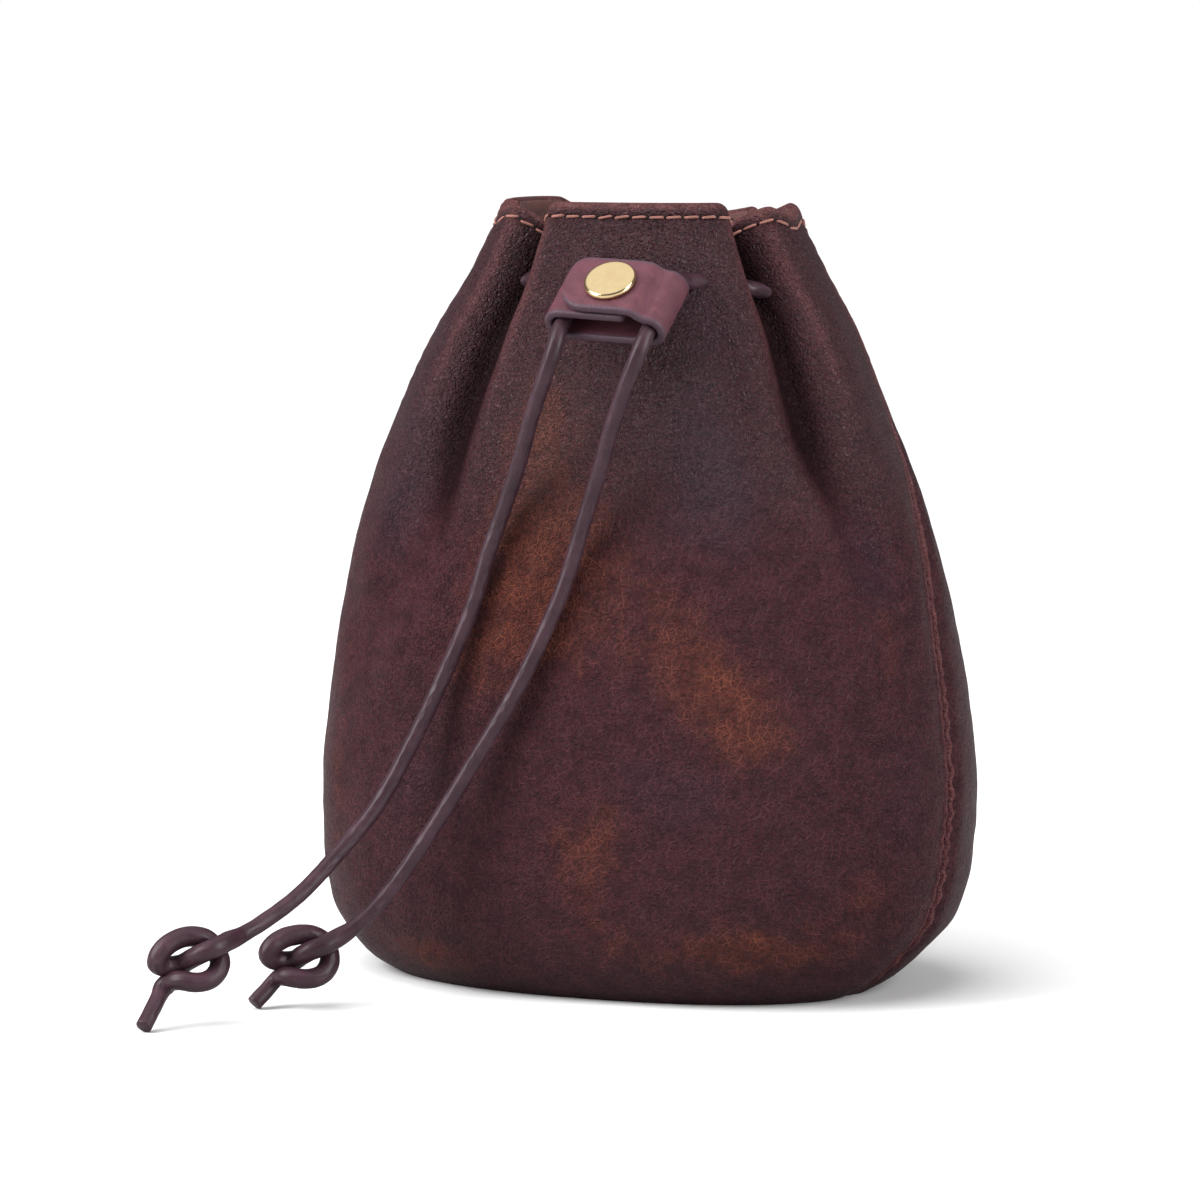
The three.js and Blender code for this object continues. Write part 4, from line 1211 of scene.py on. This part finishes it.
def polished_gold():
    f, c = Finish("polished_gold"), settings().finish
    where = f.place()
    haze = f.noise(where, 420.0, 4.0, 0.6)
    brushed = f.noise(f.add("ShaderNodeMapping", {
        "Vector": where, "Scale": (1.0, 12.0, 12.0)}).outputs[0], 300.0, 3.0)
    tone = f.mix(f.ease(haze, 0.35, 0.7, 0.0, 0.3), rgba(c.gold), (0.80, 0.56, 0.26, 1.0))
    return f.finish(**{
        "Base Color": tone, "Metallic": 1.0,
        "Roughness": f.sum((haze, 0.10), (brushed, 0.05), (1.0, 0.10)),
        "Normal": f.bump(haze, 0.00003, 0.25)})


def sewing_thread():
    f, c = Finish("sewing_thread"), settings().finish
    twist = f.add("ShaderNodeMath", {0: f.attribute("run"), 1: 16000.0}, operation="MULTIPLY")
    twist = f.add("ShaderNodeMath", {0: twist.outputs[0]}, operation="SINE").outputs[0]
    clouds = f.noise(f.place(), 500.0, 3.0)
    shade = f.sum((twist, 0.22), (clouds, 0.7), (1.0, 0.1))
    dark = tuple(0.38 * v for v in c.thread) + (1.0,)
    tone = f.mix(f.ease(shade, 0.2, 0.75), dark, rgba(c.thread))
    return f.finish(**{
        "Base Color": tone, "Roughness": f.ease(clouds, 0, 1, 0.75, 0.6),
        "Normal": f.bump(twist, 0.00006, 0.7), "Sheen Weight": 0.2})


def painted_hole_shade():
    f = Finish("painted_hole_shade")
    # painted shade: a near-black colour stands for the shade inside the needle's holes
    tone = f.mix(f.noise(f.place(), 1500.0), (0.004, 0.002, 0.002, 1), (0.012, 0.005, 0.006, 1))
    return f.finish(**{"Base Color": tone, "Roughness": 0.95})


def studio_floor():
    f = Finish("studio_floor")
    soft = f.noise(f.place(), 6.0, 2.0)
    floor = tuple(settings().stage.floor)
    tone = f.mix(soft, floor + (1.0,), tuple(0.995 * v for v in floor) + (1.0,))
    seen = f.add("ShaderNodeLightPath").outputs["Is Camera Ray"]
    tone = f.mix(seen, tuple(0.5 * v for v in floor) + (1.0,), tone)
    return f.finish(**{"Base Color": tone, "Roughness": 0.9, "Specular IOR Level": 0.1})


# Operators, one for each piece or group of like pieces


class BAG_OT_laces(bpy.types.Operator):
    """Build the two free ends with their knots, and the lace in the neck"""

    bl_idname = "bag.laces"
    bl_label = "Laces"

    def execute(self, context):
        hardware = settings().hardware
        size = keeper_sizes()
        length, half = size.length, size.half
        leather = lace_leather()
        free, tight = 500 * hardware.lace, 500 * hardware.knot_lace
        for side, run, knot, nodes in (
            ("left", LEFT_RUN, LEFT_KNOT, ("left_cord", "left_knot")),
            ("right", RIGHT_RUN, RIGHT_KNOT, ("right_cord", "right_knot")),
        ):
            x = -half if side == "left" else half
            lead = in_keeper([(x, 0, -length / 2 + 2.5), (x, 0, -length / 2 - 0.75)])
            path, total = smooth_path([*lead, *run, *knot], 0.55)
            in_run = smooth_path([*lead, *run], 0.55)[1]
            tail = smooth_path(knot[-6:], 0.55)[1]
            at = np.linspace(0, total, len(path))
            squeezed = smooth_step(in_run - 2, in_run + 4, at) * (
                1 - smooth_step(total - tail - 1, total - tail + 3, at))
            radius = free + (tight - free) * squeezed
            mesh = lace_mesh(side + "_lace", path, radius, seed=4.0 + x)
            piece = place(side + "_lace", mesh, [leather], "cord_leather", *nodes)
            in_keeper((x, 0, -length / 2)) * 0.001
        end = length / 2 - 1.0
        lead = in_keeper([
            (-half, 0, -end), (-half, 0, 0), (-half, 0, length / 2),
            (-half, 0, length / 2 + NECK_LEAD)])
        back = in_keeper([
            (half, 0, length / 2 + NECK_LEAD), (half, 0, length / 2), (half, 0, 0),
            (half, 0, -end)])
        angle, level, inset = (column(NECK_ROUTE, k) for k in range(3))
        ox, oy, nx, ny = outline(angle, level)
        height = 1000 * settings().shape.height
        around = np.stack([ox - nx * inset, oy - ny * inset, level * height], 1)
        route = [
            *lead, lead[-1] + np.array(NECK_TURN) * (-1, 1, 1), *around,
            back[0] + np.array(NECK_TURN), *back]
        path, total = smooth_path(route, 0.6)
        mesh = lace_mesh("neck_lace", path, np.full(len(path), free), seed=2.0)
        place("neck_lace", mesh, [leather], "cord_leather", "neck_cord")
        return {"FINISHED"}


def neck_cutter():
    """A slim tube along the lace in the neck, which cuts its holes in the panels."""
    lace = bpy.data.objects["neck_lace"]
    cutter = lace.copy()
    cutter.data = lace.data.copy()
    bm = bmesh.new()
    bm.from_mesh(cutter.data)
    for v, n in [(v, v.normal.copy()) for v in bm.verts]:
        v.co += n * 0.00045
    bm.to_mesh(cutter.data)
    bm.free()
    return cutter


def cut_holes(piece):
    """Cuts the lace's holes in a panel and keeps the result in its mesh."""
    cutter = neck_cutter()
    cutter.parent = None
    bpy.context.scene.collection.objects.link(cutter)
    tool = piece.modifiers.new("lace_holes", "BOOLEAN")
    tool.operation = "DIFFERENCE"
    tool.solver = "MANIFOLD"
    tool.object = cutter
    bpy.context.view_layer.update()
    seen = bpy.context.evaluated_depsgraph_get()
    cut = bpy.data.meshes.new_from_object(piece.evaluated_get(seen))
    if len(cut.polygons) < 1000:
        raise RuntimeError("the lace's holes could not be cut in " + piece.name)
    piece.modifiers.remove(tool)
    old = piece.data
    name = old.name
    piece.data = cut
    bpy.data.meshes.remove(old)
    cut.name = name
    bpy.data.objects.remove(cutter)


class BAG_OT_panels(bpy.types.Operator):
    """Build the front and back panel of gathered leather with their turned hem"""

    bl_idname = "bag.panels"
    bl_label = "Panels"

    def execute(self, context):
        finishes = [bag_leather(), flesh_leather()]
        for name, side, columns, rows in (
            ("front_leather", "front", 176, 168), ("back_leather", "back", 150, 130),
        ):
            mesh = panel_mesh(name, side, columns, rows)
            node = side + "_panel"
            piece = place(name, mesh, finishes, "body_leather", node)
            cut_holes(piece)
        return {"FINISHED"}


class BAG_OT_stitches(bpy.types.Operator):
    """Build the row of stitches round the hem and the painted shade of the needle's holes"""

    bl_idname = "bag.stitches"
    bl_label = "Hem stitches"

    def execute(self, context):
        place("hem_stitches", stitches_mesh(), [sewing_thread()], "body_leather")
        # dark blobs of painted shade where the needle's holes are
        place("painted_hole_shades", hole_shades_mesh(), [painted_hole_shade()], "body_leather")
        return {"FINISHED"}


class BAG_OT_keeper(bpy.types.Operator):
    """Build the keeper, a strip of leather wrapped round both laces"""

    bl_idname = "bag.keeper"
    bl_label = "Keeper"

    def execute(self, context):
        place("keeper", keeper_mesh(), [keeper_leather()], "keeper_leather", "cord_keeper")
        return {"FINISHED"}


class BAG_OT_rivet(bpy.types.Operator):
    """Build the cap rivet that holds the keeper together"""

    bl_idname = "bag.rivet"
    bl_label = "Rivet"

    def execute(self, context):
        place("cap_rivet", rivet_mesh(), [polished_gold()], "rivet_metal", "rivet")
        return {"FINISHED"}


def area_light(name, at, towards, size, power, tint=(1, 1, 1)):
    lamp = bpy.data.lights.new(name, "AREA")
    lamp.shape = "RECTANGLE"
    lamp.size, lamp.size_y = size
    lamp.energy = power
    lamp.color = tint
    light = bpy.data.objects.new(name, lamp)
    bpy.context.scene.collection.objects.link(light)
    light.location = at
    aim = Vector(towards) - Vector(at)
    light.rotation_euler = aim.to_track_quat("-Z", "Y").to_euler()


def studio_world(ambient):
    """White backdrop, a dim room round the bag, and a bright ceiling in reflections."""
    world = bpy.data.worlds.new("studio")
    world.use_nodes = True
    nodes, links = world.node_tree.nodes, world.node_tree.links
    back = nodes["Background"]
    rays = nodes.new("ShaderNodeLightPath")
    direction = nodes.new("ShaderNodeTexCoord")
    parts = nodes.new("ShaderNodeSeparateXYZ")
    links.new(direction.outputs["Generated"], parts.inputs[0])
    ceiling = nodes.new("ShaderNodeMapRange")
    ceiling.interpolation_type = "SMOOTHSTEP"
    for socket, value in (
            ("From Min", 0.62), ("From Max", 0.93),
            ("To Min", 0.6 * ambient), ("To Max", 0.95)):
        ceiling.inputs[socket].default_value = value
    links.new(parts.outputs["Z"], ceiling.inputs["Value"])
    dim = nodes.new("ShaderNodeMix")
    dim.inputs["A"].default_value = ambient
    links.new(rays.outputs["Is Glossy Ray"], dim.inputs["Factor"])
    links.new(ceiling.outputs["Result"], dim.inputs["B"])
    seen = nodes.new("ShaderNodeMix")
    seen.inputs["B"].default_value = 1.0
    links.new(rays.outputs["Is Camera Ray"], seen.inputs["Factor"])
    links.new(dim.outputs["Result"], seen.inputs["A"])
    links.new(seen.outputs["Result"], back.inputs["Strength"])
    back.inputs["Color"].default_value = (1, 1, 1, 1)
    return world


class BAG_OT_stage(bpy.types.Operator):
    """Build the pale floor, the soft studio lights and the camera"""

    bl_idname = "bag.stage"
    bl_label = "Stage"

    def execute(self, context):
        look, scene = settings().stage, context.scene
        camera = bpy.data.objects.new("camera", bpy.data.cameras.new("camera"))
        scene.collection.objects.link(camera)
        camera.data.lens = look.lens
        camera.data.sensor_width = 36
        camera.location = (0.3420, -0.9397, 0.200)
        aim = Vector((-0.0094, -0.0034, 0.0816)) - camera.location
        camera.rotation_euler = aim.to_track_quat("-Z", "Y").to_euler()
        scene.camera = camera
        scene.view_settings.view_transform = "Standard"
        bm = bmesh.new()
        bmesh.ops.create_grid(bm, x_segments=1, y_segments=1, size=30)
        mesh = bpy.data.meshes.new("floor")
        bm.to_mesh(mesh)
        bm.free()
        floor = bpy.data.objects.new("floor", mesh)
        scene.collection.objects.link(floor)
        mesh.materials.append(studio_floor())
        scene.world = studio_world(look.ambient)
        target = (0, 0, 0.08)
        area_light("key_left", (-0.75, -0.65, 0.55), target, (0.5, 0.9), look.key)
        area_light("fill_right", (0.95, -0.25, 0.45), target, (0.4, 0.9), look.fill)
        lamp = bpy.data.lights.new("overhead", "SUN")
        lamp.energy, lamp.angle = look.sun, 1.3
        overhead = bpy.data.objects.new("overhead", lamp)
        scene.collection.objects.link(overhead)
        overhead.rotation_euler = Vector((0.42, 0.34, -1)).to_track_quat("-Z", "Y").to_euler()
        overhead.visible_glossy = False
        return {"FINISHED"}


class BAG_PT_builder(bpy.types.Panel):
    """Sizes and colours of the bag, and the buttons that build it"""

    bl_label = "Drawstring bag"
    bl_idname = "BAG_PT_builder"
    bl_space_type = "VIEW_3D"
    bl_region_type = "UI"
    bl_category = "Bag"

    def draw(self, context):
        builder = context.scene.bag_builder
        for group in (builder.shape, builder.hardware, builder.finish, builder.stage):
            box = self.layout.box()
            for name in group.bl_rna.properties.keys():
                if name not in ("rna_type", "name"):
                    box.prop(group, name)
        for operator in BUILDERS:
            self.layout.operator(operator.bl_idname)


BUILDERS = [
    BAG_OT_stage, BAG_OT_laces, BAG_OT_panels, BAG_OT_stitches, BAG_OT_keeper,
    BAG_OT_rivet,
]
GROUPS = [BagShape, HardwareShape, BagFinish, StageLook, BagBuilder]


def register():
    for cls in (*GROUPS, *BUILDERS, BAG_PT_builder):
        bpy.utils.register_class(cls)
    bpy.types.Scene.bag_builder = PointerProperty(type=BagBuilder)


def unregister():
    del bpy.types.Scene.bag_builder
    for cls in reversed((*GROUPS, *BUILDERS, BAG_PT_builder)):
        bpy.utils.unregister_class(cls)


def main():
    register()
    bpy.ops.bag.stage()
    bpy.ops.bag.laces()
    bpy.ops.bag.panels()
    bpy.ops.bag.stitches()
    bpy.ops.bag.keeper()
    bpy.ops.bag.rivet()


if __name__ == "__main__":
    main()
